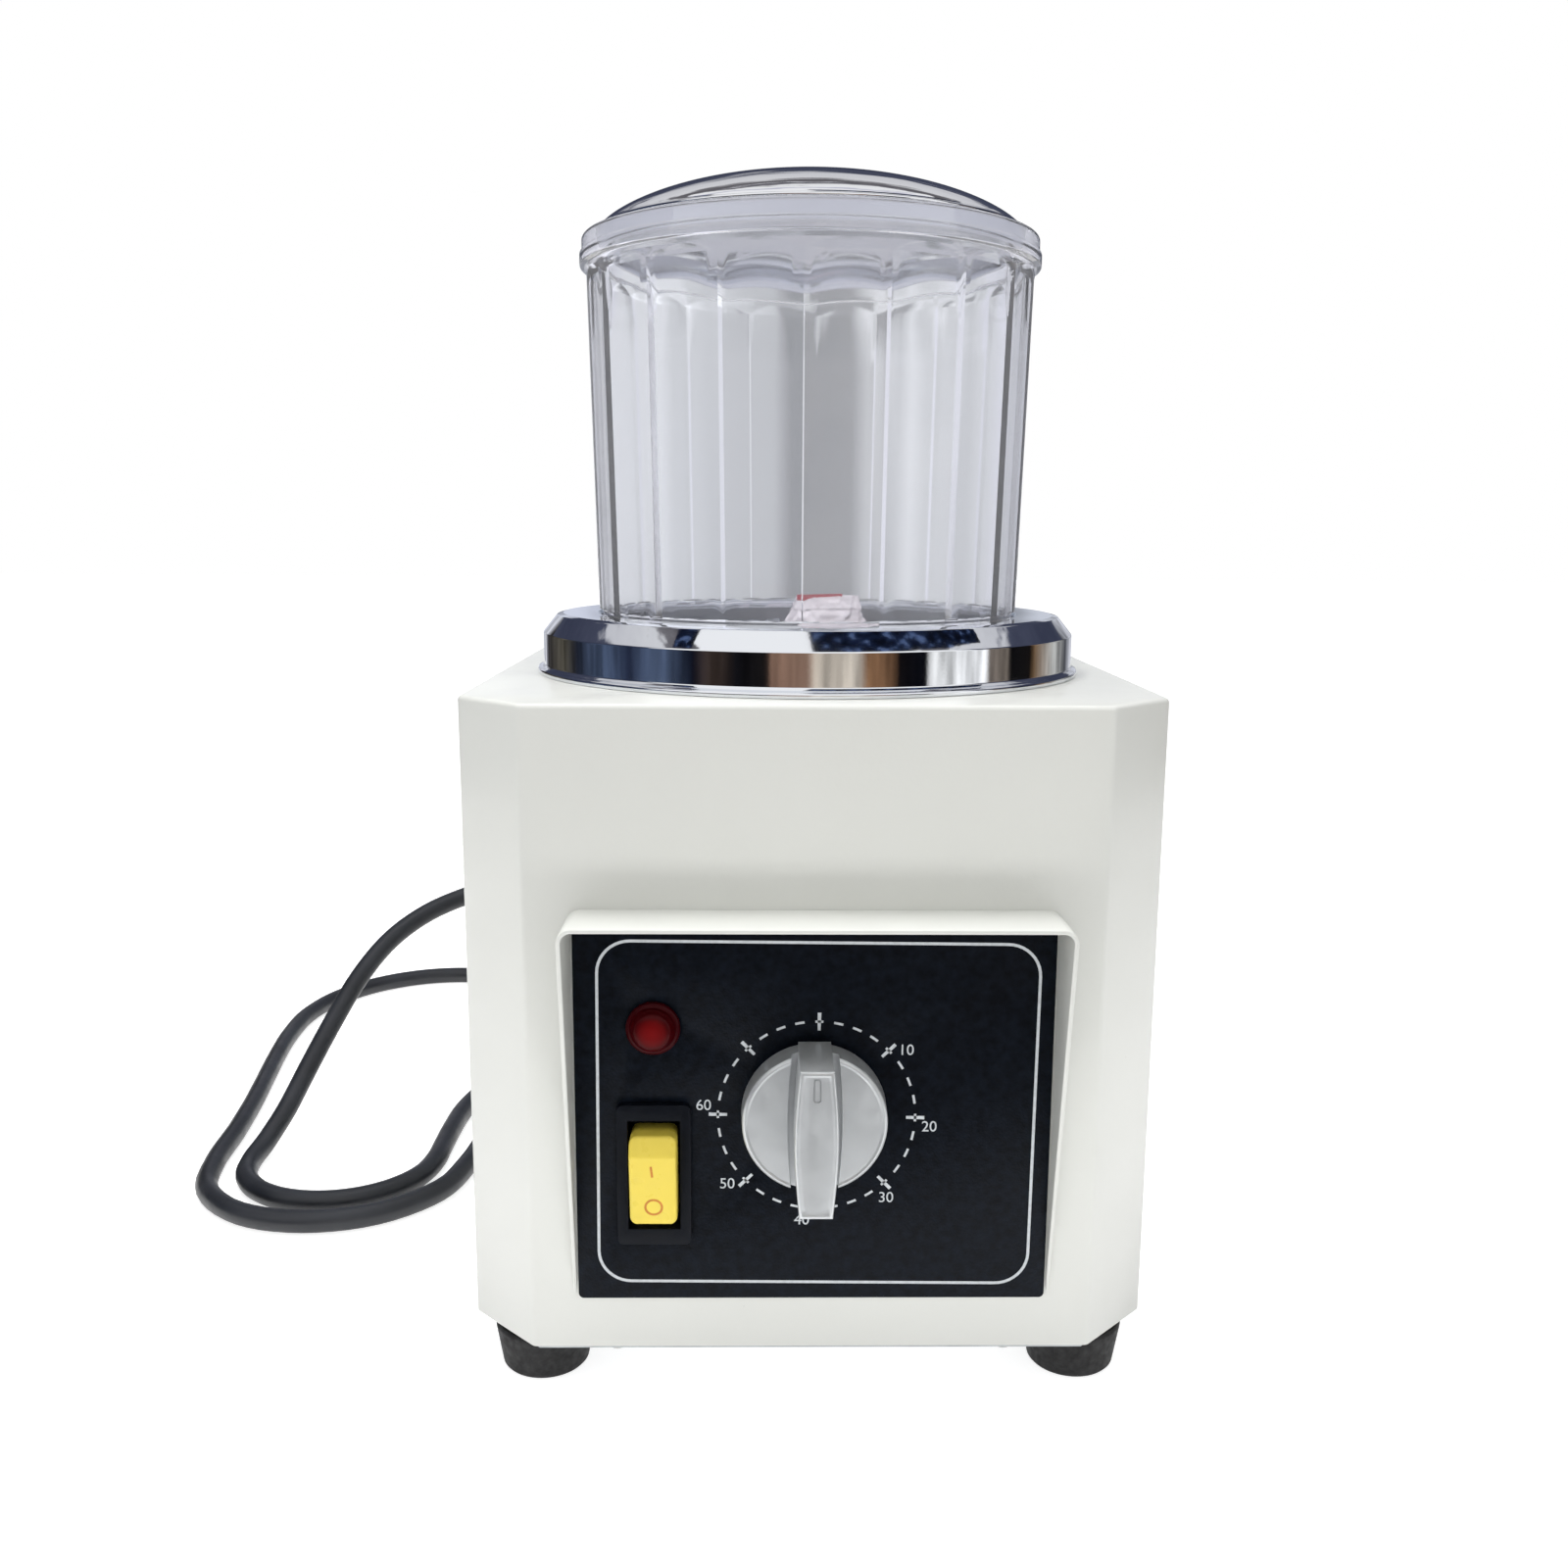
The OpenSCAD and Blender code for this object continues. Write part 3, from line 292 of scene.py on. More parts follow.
square = eased([(0, 0, 1), (4, 0, 1), (4, 4, 1), (0, 4, 1)])
print(len(square), "points; the first", tuple(round(v, 2) for v in square[0]))

# %% Turning, stacking and pushing outlines
def turned(name, outline, steps=128, centre=SPIN, close=True):
    """Turns an outline of (radius, height) points about an upright axis."""
    points, faces, rings = [], [], []
    for r, z in outline:
        if r < 1e-7:
            rings.append([len(points)])
            points.append((centre.x, centre.y, z))
        else:
            rings.append(list(range(len(points), len(points) + steps)))
            for k in range(steps):
                a = 2 * math.pi * k / steps
                points.append((centre.x + r * math.cos(a), centre.y + r * math.sin(a), z))
    pairs = list(zip(rings, rings[1:] + ([rings[0]] if close else [])))
    for low, high in pairs:
        for k in range(steps):
            n = (k + 1) % steps
            face = [low[k % len(low)], low[n % len(low)], high[n % len(high)], high[k % len(high)]]
            face = list(dict.fromkeys(face))
            if len(face) > 2:
                faces.append(face)
    return outward(mesh_of(name, points, faces))


def outward(mesh):
    """Makes every face look outwards."""
    shape = bmesh.new()
    shape.from_mesh(mesh)
    bmesh.ops.remove_doubles(shape, verts=shape.verts, dist=1e-7)
    bmesh.ops.recalc_face_normals(shape, faces=shape.faces)
    shape.to_mesh(mesh)
    shape.free()
    return mesh


def stacked(name, layers, place=None):
    """Joins equal outlines at different heights; layers are (outline, height)."""
    points, faces = [], []
    count = len(layers[0][0])
    for outline, z in layers:
        points += [Vector((p[0], p[1], z)) for p in outline]
    for i in range(len(layers) - 1):
        for k in range(count):
            n = (k + 1) % count
            faces.append([i * count + k, i * count + n, (i + 1) * count + n, (i + 1) * count + k])
    faces.append(list(range(count))[::-1])
    faces.append([(len(layers) - 1) * count + k for k in range(count)])
    if place is not None:
        points = [place @ p for p in points]
    return outward(mesh_of(name, points, faces))


def cap_curve(radius, steps=4):
    """Insets and drops for the rounded end of a stack."""
    turns = [math.pi / 2 * k / steps for k in range(steps + 1)]
    return [(radius * (1 - math.cos(t)), radius * (1 - math.sin(t))) for t in turns]


print("turning and stacking ready")

# %% [markdown]
# Some CAD nodes already have the right shape and only lack their small edge rounds. For those, a copy
# of the node's mesh is cleaned of its triangles and its sharp edges are bevelled. The node itself is
# never touched.

# %% A softened copy of a CAD node
def softened(node, name, body, material, width=0.4, segments=2, sharp=35, angle=35):
    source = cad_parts[node]
    shape = bmesh.new()
    shape.from_mesh(source.data)
    bmesh.ops.remove_doubles(shape, verts=shape.verts, dist=1e-6)
    bmesh.ops.dissolve_limit(shape, angle_limit=math.radians(1.0), verts=shape.verts, edges=shape.edges)
    edges = [e for e in shape.edges if len(e.link_faces) == 2 and e.calc_face_angle(0) > math.radians(angle)]
    bmesh.ops.bevel(shape, geom=edges, offset=width * MM, segments=segments, affect="EDGES",
                    clamp_overlap=True, profile=0.5)
    bmesh.ops.recalc_face_normals(shape, faces=shape.faces)
    mesh = bpy.data.meshes.new(name)
    shape.to_mesh(mesh)
    shape.free()
    return piece(name, mesh, body, material, (node,), sharp=sharp)


print("softening ready")

# %% [markdown]
# ## The mains cord
# The cord is black PVC, 8 mm thick. It leaves the strain relief straight back, falls to the table on
# the left under its own weight, runs round behind the casing and ends in a small coil with the plug.
# A cord has one length, so it is drawn as one smooth line through chosen points, with the round
# section swept along it. The points are in millimetres: x, the distance behind the casing and z.

# %% The cord's line
CORD_D = 8 * MM
cord_points = [
    (-45, 35, 96), (-46, 47, 96), (-52, 60, 95), (-64, 70, 94), (-82, 74, 92), (-103, 72, 90), (-124, 65, 86),
    (-143, 57, 81), (-159, 45, 76), (-172, 31, 68), (-182, 17, 56), (-190, 3, 41), (-197, -10, 26),
    (-202, -23, 14), (-206, -36, 6.5), (-207.6, -49, 4), (-205, -62, 4), (-197.5, -73, 4), (-186.3, -80.4, 4),
    (-173, -83, 4), (-159.7, -80.4, 4), (-148.5, -73, 4), (-141, -62, 4), (-138.2, -49, 4), (-138, -36, 4),
    (-138, -20, 4), (-137, 0, 4), (-133, 20, 4), (-125, 45, 4), (-117, 70, 4), (-112, 96, 4), (-114, 124, 4),
    (-124, 150, 4), (-142, 171, 4), (-166, 182, 4), (-192, 180, 4), (-215, 166, 4), (-230, 144, 4),
    (-237, 118, 4), (-237, 90, 4), (-234, 62, 4), (-230, 34, 4), (-226, 6, 4), (-223, -22, 4), (-221, -50, 4),
    (-215, -74, 4), (-197, -92, 4), (-173, -98, 4), (-149, -92, 4), (-131, -74, 4), (-125, -50, 4),
    (-122, -25, 4), (-114, 0, 4), (-99, 20, 4), (-79, 34, 4), (-59, 47, 4), (-42, 63, 4), (-30, 83, 4),
]
route = [Vector((x * MM, BACK + y * MM, z * MM)) for x, y, z in cord_points]
coil_middle = Vector((20 * MM, BACK + 106 * MM, 0))
coil_radius = 44 * MM


def through(points, steps):
    """A smooth line through the points, bending evenly between them."""
    line = []
    last = len(points) - 1
    for i in range(last):
        a, b, c, d = points[max(i - 1, 0)], points[i], points[i + 1], points[min(i + 2, last)]
        for k in range(steps):
            t = k / steps
            line.append(0.5 * (2 * b + (c - a) * t + (2 * a - 5 * b + 4 * c - d) * t * t
                               + (3 * b - a - 3 * c + d) * t ** 3))
    line.append(points[last])
    return line


def coil_turns():
    """One and a half turns: most of the first lies on the table, the rest has climbed on top of it."""
    climb_start, climb_length = 268, 77
    points = []
    for degrees in range(0, 541, 10):
        a = math.radians(180 - degrees)
        climb = min(1, max(0, (degrees - climb_start) / climb_length))
        climb = climb * climb * (3 - 2 * climb)
        place = Vector((coil_radius * math.cos(a), coil_radius * math.sin(a), (4 + 8 * climb) * MM))
        points.append(coil_middle + place)
    return points


turns = coil_turns()
cord_line = through(route + turns, 5)
cord_line.append(turns[-1] + Vector((0, -18 * MM, 0)))
cord_length = sum((b - a).length for a, b in zip(cord_line, cord_line[1:]))
print("cord line", len(cord_line), "points,", round(cord_length, 3), "m")

# %% [markdown]
# The jacket of such a cord is soft and slightly glossy, with faint waves from the way it was packed.
# A curve with a round bevel gives the tube; the finish carries the waves.

# %% The cord
cord_finish = Finish("cord_jacket", tone(34, 36, 41), 0.42)
cord_finish.cloudy(60, 0.8, 1.25).uneven(120, 0.34, 0.5).textured(700, 0.00008, 0.5)
cord_finish.set("Specular IOR Level", 0.5)
curve = bpy.data.curves.new("mains_cord", "CURVE")
curve.dimensions = "3D"
curve.bevel_depth = CORD_D / 2 - 0.05 * MM
curve.bevel_resolution = 5
curve.use_fill_caps = True
spline = curve.splines.new("POLY")
spline.points.add(len(cord_line) - 1)
for point, place in zip(spline.points, cord_line):
    point.co = (*place, 1)
    point.radius = 1
spline.use_smooth = True
mains_cord = bpy.data.objects.new("mains_cord", curve)
curve.materials.append(cord_finish.material)
scene.collection.objects.link(mains_cord)
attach(mains_cord, "base")
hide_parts("power_cord", "cord_coil")
print("cord bevel", curve.bevel_depth)

# %% [markdown]
# The plug is moulded onto the cord: a ribbed boot, a soft-cornered body and three metal pins. It lies
# on its side by the coil. The body is a stack of rounded outlines, narrower towards the boot.

# %% The plug
NEARLY_ROUND = 0.49  # a corner radius as a share of the width: two such corners leave no straight side


def rounded_box(width, height, radius, steps=5):
    return eased([(-width / 2, -height / 2, radius), (width / 2, -height / 2, radius),
                  (width / 2, height / 2, radius), (-width / 2, height / 2, radius)], steps)


def plug_mesh():
    low, high = box("plug_body")
    width = high.x - low.x
    height = high.z - low.z
    middle = Vector(((low.x + high.x) / 2, 0, (low.z + high.z) / 2))
    start, finish = high.y, low.y
    boot_end = start - 22 * MM
    layers = []
    for k in range(12):
        y = start - k * 2 * MM
        size = 10.6 * MM + k * 0.55 * MM
        if k % 2 and 1 < k < 11:
            size -= 1.6 * MM
        rib = rounded_box(size, size, size * NEARLY_ROUND)
        layers += [(rib, -y), (rib, -(y - 1.2 * MM))]
    reach = boot_end - finish
    for share, w, h in ((0.04, 0.72, 0.76), (0.1, 0.84, 0.88), (0.2, 0.93, 0.955), (0.34, 0.985, 0.99),
                        (0.5, 1.0, 1.0), (0.9, 1.0, 1.0), (0.965, 0.985, 0.985), (1.0, 0.93, 0.93)):
        y = boot_end - reach * share
        layers.append((rounded_box(width * w, height * h, 6 * MM * w), -y))
    turn = Matrix.Translation((middle.x, 0, middle.z)) @ Matrix.Rotation(math.radians(90), 4, "X")
    return stacked("mains_plug", layers, turn)


plug_finish = Finish("plug_moulding", tone(30, 31, 35), 0.45)
plug_finish.cloudy(90, 0.85, 1.2).uneven(200, 0.36, 0.52).textured(1500, 0.00006, 0.6)
mains_plug = piece("mains_plug", plug_mesh(), "base", plug_finish.material, ("plug_body",), sharp=50)
low, high = box("plug_body")
print("plug", [round(v, 3) for v in mains_plug.dimensions], "CAD", [round(v, 3) for v in high - low])

# %% [markdown]
# A tie holds the coil: a flat strap that goes round the bundle. It is a thin closed band with rounded
# corners, made from an outline and a smaller copy of it.

# %% The tie and the pins
def strap(name, node, thickness):
    low, high = box(node)
    middle = (low + high) / 2
    depth, height = high.y - low.y, high.z - low.z
    outer = rounded_box(depth, height, 4.2 * MM)
    inner = rounded_box(depth - 2 * thickness, height - 2 * thickness, 3.4 * MM)
    points, faces = [], []
    for x in (low.x, high.x):
        for outline in (outer, inner):
            points += [(x, middle.y + p[0], middle.z + p[1]) for p in outline]
    n = len(outer)
    for k in range(n):
        j = (k + 1) % n
        faces += [[k, j, 2 * n + j, 2 * n + k], [n + j, n + k, 3 * n + k, 3 * n + j],
                  [j, k, n + k, n + j], [2 * n + k, 2 * n + j, 3 * n + j, 3 * n + k]]
    return outward(mesh_of(name, points, faces))


tie_finish = Finish("strap_webbing", tone(26, 27, 30), 0.7)
tie_finish.cloudy(300, 0.7, 1.4).textured(2500, 0.0001, 0.8, stretch=(1, 3, 3))
coil_strap = piece("coil_strap", strap("coil_strap", "cord_tie", 1.1 * MM), "base", tie_finish.material,
                   ("cord_tie",))
pin_finish = Finish("plug_pin_brass", tone(196, 190, 176), 0.25, 1.0)
pin_finish.uneven(400, 0.18, 0.38, stretch=(1, 8, 1)).cloudy(150, 0.85, 1.1)
plug_blades = softened("plug_pins", "plug_blades", "base", pin_finish.material, 0.35)
print("cord declared; real line", round(cord_length, 3))

# %% [markdown]
# ## The casing
# The casing is one folded sheet with an upright flat at each corner. The brake leaves a small radius
# at every bend, and the top is folded over with a tighter one. Here the outside is a stack of rounded
# outlines. The inside, the window behind the panel, the bore and the air slots are cut out of it with
# exact Booleans, so the rounds stay clean.

# %% White enamel
enamel = Finish("white_enamel", tone(226, 227, 222), 0.34)
enamel.cloudy(14, 0.985, 1.01).uneven(60, 0.28, 0.42)
enamel.textured(420, 0.00012, 0.35).textured(2600, 0.00002, 0.4)
enamel.specked(75, 0.016, tone(120, 118, 110), 0.55)
enamel.set("Coat Weight", 0.25).set("Coat Roughness", 0.12)
print(enamel.material.name)

# %% The casing's outline
SHEET = 1.2 * MM
CUT = 19.4 * MM  # how much each corner flat takes off the two walls beside it


def case_outline(inset, bend=2.6 * MM):
    """The casing seen from above, moved inwards by inset."""
    w = (CASE_HIGH.x - CASE_LOW.x) / 2 - inset
    d = (CASE_HIGH.y - CASE_LOW.y) / 2 - inset
    c = CUT - inset * (2 - math.sqrt(2))
    corners = [(-w + c, -d), (w - c, -d), (w, -d + c), (w, d - c),
               (w - c, d), (-w + c, d), (-w, d - c), (-w, -d + c)]
    bend = max(0.2 * MM, bend - inset)
    return eased([(x, y, bend) for x, y in corners], 4)


def slot_cutter(x, z, length, width, y0, y1):
    """A bar from y0 to y1 for a slot in the back wall, with round ends."""
    left, right, low, high = x - length / 2, x + length / 2, z - width / 2, z + width / 2
    round_end = width * NEARLY_ROUND
    outline = eased([(left, low, round_end), (right, low, round_end),
                     (right, high, round_end), (left, high, round_end)], 5)
    turn = Matrix(((1, 0, 0, 0), (0, 0, -1, 0), (0, 1, 0, 0), (0, 0, 0, 1)))
    return stacked("slot_cutter", [(outline, -y0), (outline, -y1)], turn)


def cut_away(mesh, cutters):
    """Subtracts each cutter mesh from the first."""
    body = bpy.data.objects.new("cut_body", mesh)
    scene.collection.objects.link(body)
    tools = []
    for cutter in cutters:
        tool = bpy.data.objects.new("cut_tool", cutter)
        scene.collection.objects.link(tool)
        change = body.modifiers.new("cut", "BOOLEAN")
        change.operation = "DIFFERENCE"
        change.solver = "EXACT"
        change.object = tool
        tools.append(tool)
    bpy.context.view_layer.update()
    result = bpy.data.meshes.new_from_object(body.evaluated_get(bpy.context.evaluated_depsgraph_get()))
    for obj in [body] + tools:
        bpy.data.objects.remove(obj)
    return result


def drum(radius, z0, z1):
    return turned("drum_cutter", [(0, z0), (radius, z0), (radius, z1), (0, z1)], 96, close=False)


def case_mesh():
    window_w, window_low, window_high = 116 * MM, 42.5 * MM, 127 * MM
    slot_rows, slot_pitch, slot_x, first_slot = 7, 8, 30, 108
    cord_hole = 13.2 * MM
    lift = Matrix.Translation(SPIN)
    bottom, top = CASE_LOW.z, CASE_HIGH.z
    round_top = cap_curve(1.5 * MM, 4)
    outer = [(case_outline(0.25 * MM), bottom), (case_outline(0), bottom + 0.3 * MM)]
    outer += [(case_outline(inset), top - drop) for inset, drop in round_top]
    inner = [(case_outline(SHEET), bottom + SHEET), (case_outline(SHEET), top - SHEET)]
    lip = [(case_outline(12 * MM), bottom - MM), (case_outline(12 * MM), bottom + 3 * MM)]
    opening = rounded_box(window_w, 8 * MM, 0.5 * MM)
    window = stacked("window_cutter", [(opening, window_low), (opening, window_high)],
                     Matrix.Translation((0, FRONT, 0)))
    bore = drum(70 * MM, top - 3 * MM, top + 2 * MM)
    cutters = [stacked("hollow", inner, lift), stacked("lip", lip, lift), bore, window]
    through_wall = (BACK - 3 * MM, BACK + 2 * MM)
    for row in range(slot_rows):
        for side in (-slot_x, slot_x):
            cutters.append(slot_cutter(side * MM, bottom + (first_slot + slot_pitch * row) * MM, 34 * MM,
                                       3.2 * MM, *through_wall))
    cutters.append(slot_cutter(-45 * MM, 96 * MM, cord_hole, cord_hole, *through_wall))
    return cut_away(stacked("casing_shell", outer, lift), cutters)


casing_shell = piece("casing_shell", case_mesh(), "base", enamel.material, ("casing",), sharp=40)
print("casing_shell", len(casing_shell.data.polygons), "faces")

# %% [markdown]
# ## The hood
# The hood is one strip of sheet folded over the control panel: deep at the top, cut away to nothing at
# its foot, and welded to the casing. Its raw edges are only slightly rounded.

# %% The hood
hood_visor = softened("hood", "hood_visor", "base", enamel.material, 0.38, 3)
print("hood_visor", len(hood_visor.data.polygons), "faces")

# %% [markdown]
# ## The control panel
# The panel is a black plate with a fine pebbled paint. On it is a pale screen print: a border with
# round corners and the timer's dial. Print has almost no height, so each mark is a very thin solid
# that stands 0.06 mm proud.

# %% The black plate
panel_paint = Finish("panel_paint", tone(10, 15, 23), 0.36)
panel_paint.cloudy(500, 0.6, 1.5).uneven(900, 0.3, 0.46).textured(1300, 0.00014, 0.8, detail=2.0)
panel_paint.set("Specular IOR Level", 0.11)
softened("control_panel", "panel_plate", "base", panel_paint.material, 0.25, 2)
print("panel_plate ready")

# %% The print
print_ink = Finish("print_ink", tone(208, 213, 217), 0.55)
print_ink.cloudy(700, 0.86, 1.05).textured(1300, 0.00008, 0.5, detail=2.0)
INK = 0.06 * MM
SUNK = 0.02 * MM


def on_panel(x, z, lift=0.0):
    return Vector((x, FACE - lift, z))


def band(outline, inner, name):
    """A thin flat ring between two outlines of the same number of points, facing forward."""
    points, faces, n = [], [], len(outline)
    for lift in (INK, -SUNK):
        points += [on_panel(p[0], p[1], lift) for p in outline]
        points += [on_panel(p[0], p[1], lift) for p in inner]
    for k in range(n):
        j = (k + 1) % n
        faces += [[k, j, n + j, n + k], [2 * n + k, 2 * n + j, 3 * n + j, 3 * n + k],
                  [k, j, 2 * n + j, 2 * n + k], [n + k, n + j, 3 * n + j, 3 * n + k]]
    return outward(mesh_of(name, points, faces))


def bar(points, name):
    """A thin flat patch with the given corners."""
    n = len(points)
    front = [on_panel(x, z, INK) for x, z in points]
    back = [on_panel(x, z, -SUNK) for x, z in points]
    faces = [list(range(n)), list(range(n, 2 * n))[::-1]]
    faces += [[k, (k + 1) % n, n + (k + 1) % n, n + k] for k in range(n)]
    return outward(mesh_of(name, front + back, faces))


def tilted_frame(left, right, low, high, radius, lean, width):
    """The two outlines of a frame line that leans by a small angle."""
    cx, cz = (left + right) / 2, (low + high) / 2
    turn = Matrix.Rotation(lean, 2)

    def ring(inset):
        w, h = (right - left) / 2 - inset, (high - low) / 2 - inset
        corners = [(-w, -h), (w, -h), (w, h), (-w, h)]
        outline = eased([(x, z, radius - inset) for x, z in corners], 10)
        return [Vector((cx, cz)) + turn @ p for p in outline]
    return ring(0), ring(width)


border = tilted_frame(left=-59.2 * MM, right=60.8 * MM, low=34.8 * MM, high=133.6 * MM, radius=9.4 * MM,
                      lean=math.radians(-0.45), width=0.8 * MM)
piece("print_border", band(*border, "print_border"), "base", print_ink.material, sharp=30)
print("border printed")

# %% [markdown]
# The dial is a broken ring of short dashes, with a small cross at every 45 degrees and a number
# outside six of the crosses. It is printed a little off the knob's axis, as such dials often are.

# %% The dial
DIAL = Vector((0.85 * MM, 84.2 * MM))
DIAL_R = 26.95 * MM


def dial_point(degrees, radius):
    a = math.radians(degrees)
    return (DIAL.x + radius * math.sin(a), DIAL.y + radius * math.cos(a))


def arc_patch(start, end, radius, width, name):
    steps = max(2, int(abs(end - start) / 3))
    outer = [dial_point(start + (end - start) * k / steps, radius + width / 2) for k in range(steps + 1)]
    inner = [dial_point(start + (end - start) * k / steps, radius - width / 2) for k in range(steps + 1)]
    return bar(outer + inner[::-1], name)


def joined(meshes, name):
    shape = bmesh.new()
    for mesh in meshes:
        shape.from_mesh(mesh)
        bpy.data.meshes.remove(mesh)
    mesh = bpy.data.meshes.new(name)
    shape.to_mesh(mesh)
    shape.free()
    return mesh


STEP = 45
LINE_W = 0.65 * MM
marks = []
for step in range(8):
    middle = STEP * step + 1
    marks.append(arc_patch(middle - 0.95, middle + 0.95, DIAL_R, 5.0 * MM, "mark"))
    marks.append(arc_patch(middle - 2.3, middle + 2.3, DIAL_R, LINE_W, "cross"))
    for count in range(1, 4):
        dash = middle + STEP * count / 4
        marks.append(arc_patch(dash - 2.7, dash + 2.7, DIAL_R, LINE_W, "dash"))
piece("print_dial", joined(marks, "print_dial"), "base", print_ink.material, sharp=30)


def number(text, x, z, size):
    """A printed number whose middle is at x and z on the panel."""
    curve = bpy.data.curves.new("number_" + text, "FONT")
    curve.body = text
    curve.size = size
    curve.align_x = "CENTER"
    curve.align_y = "CENTER"
    curve.extrude = INK / 2
    obj = bpy.data.objects.new("number_" + text, curve)
    scene.collection.objects.link(obj)
    bpy.context.view_layer.update()
    mesh = bpy.data.meshes.new_from_object(obj)
    mesh.name = "print_number_" + text
    bpy.data.objects.remove(obj)
    upright = Matrix.Rotation(math.radians(90), 4, "X")
    mesh.transform(Matrix.Translation(on_panel(x, z, INK / 2)) @ upright)
    return piece("print_number_" + text, mesh, "base", print_ink.material, sharp=30)


NUMBERS = (("10", 25, 103), ("20", 31.7, 81), ("30", 20.2, 60.3),
           ("40", -3, 53.7), ("50", -23.6, 64.4), ("60", -30, 87.2))
for text, x, z in NUMBERS:
    number(text, x * MM, z * MM, 4.3 * MM)
print("dial printed")

# %% [markdown]
# ## The timer knob
# The knob is plated plastic: a disc with a grip bar across it and a groove on each side of the bar.
# The plating is satin, so it takes a soft image of the room. The disc is turned and grooved, the bar
# is a stack of outlines that close in at its top, and a shallow pointer outline is engraved on it.

# %% The knob
def forward_place(x, y, z):
    """Turns a shape made with its axis up so that it looks forward."""
    return Matrix.Translation((x, y, z)) @ Matrix.Rotation(math.radians(90), 4, "X")


def moved(mesh, matrix):
    mesh.transform(matrix)
    mesh.update()
    return mesh


def ring_band(outer, inner, z0, z1, name):
    """A closed band between two outlines, from z0 to z1."""
    points, faces, n = [], [], len(outer)
    for z in (z0, z1):
        points += [(p[0], p[1], z) for p in outer] + [(p[0], p[1], z) for p in inner]
    for k in range(n):
        j = (k + 1) % n
        faces += [[k, j, n + j, n + k], [2 * n + k, 2 * n + j, 3 * n + j, 3 * n + k],
                  [k, j, 2 * n + j, 2 * n + k], [n + k, n + j, 3 * n + j, 3 * n + k]]
    return outward(mesh_of(name, points, faces))


knob_finish = Finish("satin_plating", tone(208, 211, 213), 0.34, 0.6)
knob_finish.cloudy(120, 0.95, 1.02).uneven(260, 0.3, 0.42).textured(2600, 0.00002, 0.5)
knob_low, knob_high = box("timer_knob")
KNOB = Vector(((knob_low.x + knob_high.x) / 2, FACE, 0))
KNOB_R = (knob_high.x - knob_low.x) / 2
KNOB.z = knob_high.z - 20.1 * MM
knob_out = FACE - knob_low.y


def grip_outline(grow, along=0.0, n=12):
    """The grip bar seen from the front, slightly fuller in its middle."""
    length = KNOB_R + 0.4 * MM + along

    def half(share):
        return (4.4 + 1.3 * math.cos(math.radians(90 * share))) * MM + grow

    right = [Vector((half(k / n), length * k / n)) for k in range(-n, n + 1)]
    left = [Vector((-half(k / n), length * k / n)) for k in range(n, -n - 1, -1)]
    return right + left


def knob_disc():
    corners = [(0, 1.6, 0), (19.3, 1.6, 0.4), (KNOB_R / MM, 2.4, 0.6), (19.45, 10.2, 0.8), (18.6, 11.0, 0.4),
               (17.9, 10.75, 0.3), (0, 10.75, 0)]
    outline = [(max(0, p.x) * MM, p.y * MM) for p in eased(corners, 4, closed=False)]
    disc = turned("knob_disc", outline, 160, Vector((0, 0, 0)), close=False)
    wider = grip_outline(1.6 * MM, 2 * MM)
    return cut_away(disc, [stacked("groove", [(wider, 7.8 * MM), (wider, 13 * MM)])])


def knob_bar():
    top = knob_out
    closing_in = ((0.08, 0.45), (0.3, 0.15), (0.62, 0), (0.95, 0.02), (1.2, 0.16), (1.6, 0.24))
    layers = [(grip_outline(0), 2.6 * MM), (grip_outline(0), top - 0.8 * MM)]
    layers += [(grip_outline(-inset * MM, -inset * MM), top - drop * MM) for inset, drop in closing_in]
    bar_mesh = stacked("knob_bar", layers)
    pointer = ring_band(rounded_box(2.0 * MM, 6.4 * MM, 0.8 * MM),
                        rounded_box(1.25 * MM, 5.6 * MM, 0.4 * MM),
                        top - 0.7 * MM, top + MM, "pointer_cutter")
    moved(pointer, Matrix.Translation((0, 15.0 * MM, 0)))
    return cut_away(bar_mesh, [pointer])


knob_cap = joined([knob_disc(), knob_bar()], "knob_cap")
moved(knob_cap, forward_place(*KNOB))
knob_cap = piece("knob_cap", knob_cap, "knob", knob_finish.material, ("timer_knob",), sharp=32)
print("knob_cap", [round(v * 1000, 1) for v in knob_cap.dimensions], "mm")

# %% [markdown]
# ## The rocker switch
# The paddle is a glossy yellow moulding with two planes that meet at a ridge. Its front is a height
# field over a rectangle with round corners: the profile gives the height and the distance to the
# nearest edge rounds it off. The marks for on and off are thin printed patches.

# %% The paddle
PAD_LOW, PAD_HIGH = box("rocker_paddle")
SWITCH = Vector(((PAD_LOW.x + PAD_HIGH.x) / 2, FACE, (PAD_LOW.z + PAD_HIGH.z) / 2))
PAD_W, PAD_L = 12.9 * MM, 25.8 * MM
PAD_END = 14
pad_profile = [(-PAD_END, 5.0), (7.2, 8.05), (7.7, 8.2), (8.2, 8.0), (PAD_END, 4.8)]


def pad_front(z):
    """How far the paddle stands out of the panel at a height above its middle."""
    z = max(-PAD_END, min(PAD_END, z / MM))
    for (z0, y0), (z1, y1) in zip(pad_profile, pad_profile[1:]):
        if z <= z1:
            return (y0 + (y1 - y0) * (z - z0) / (z1 - z0)) * MM
    return pad_profile[-1][1] * MM


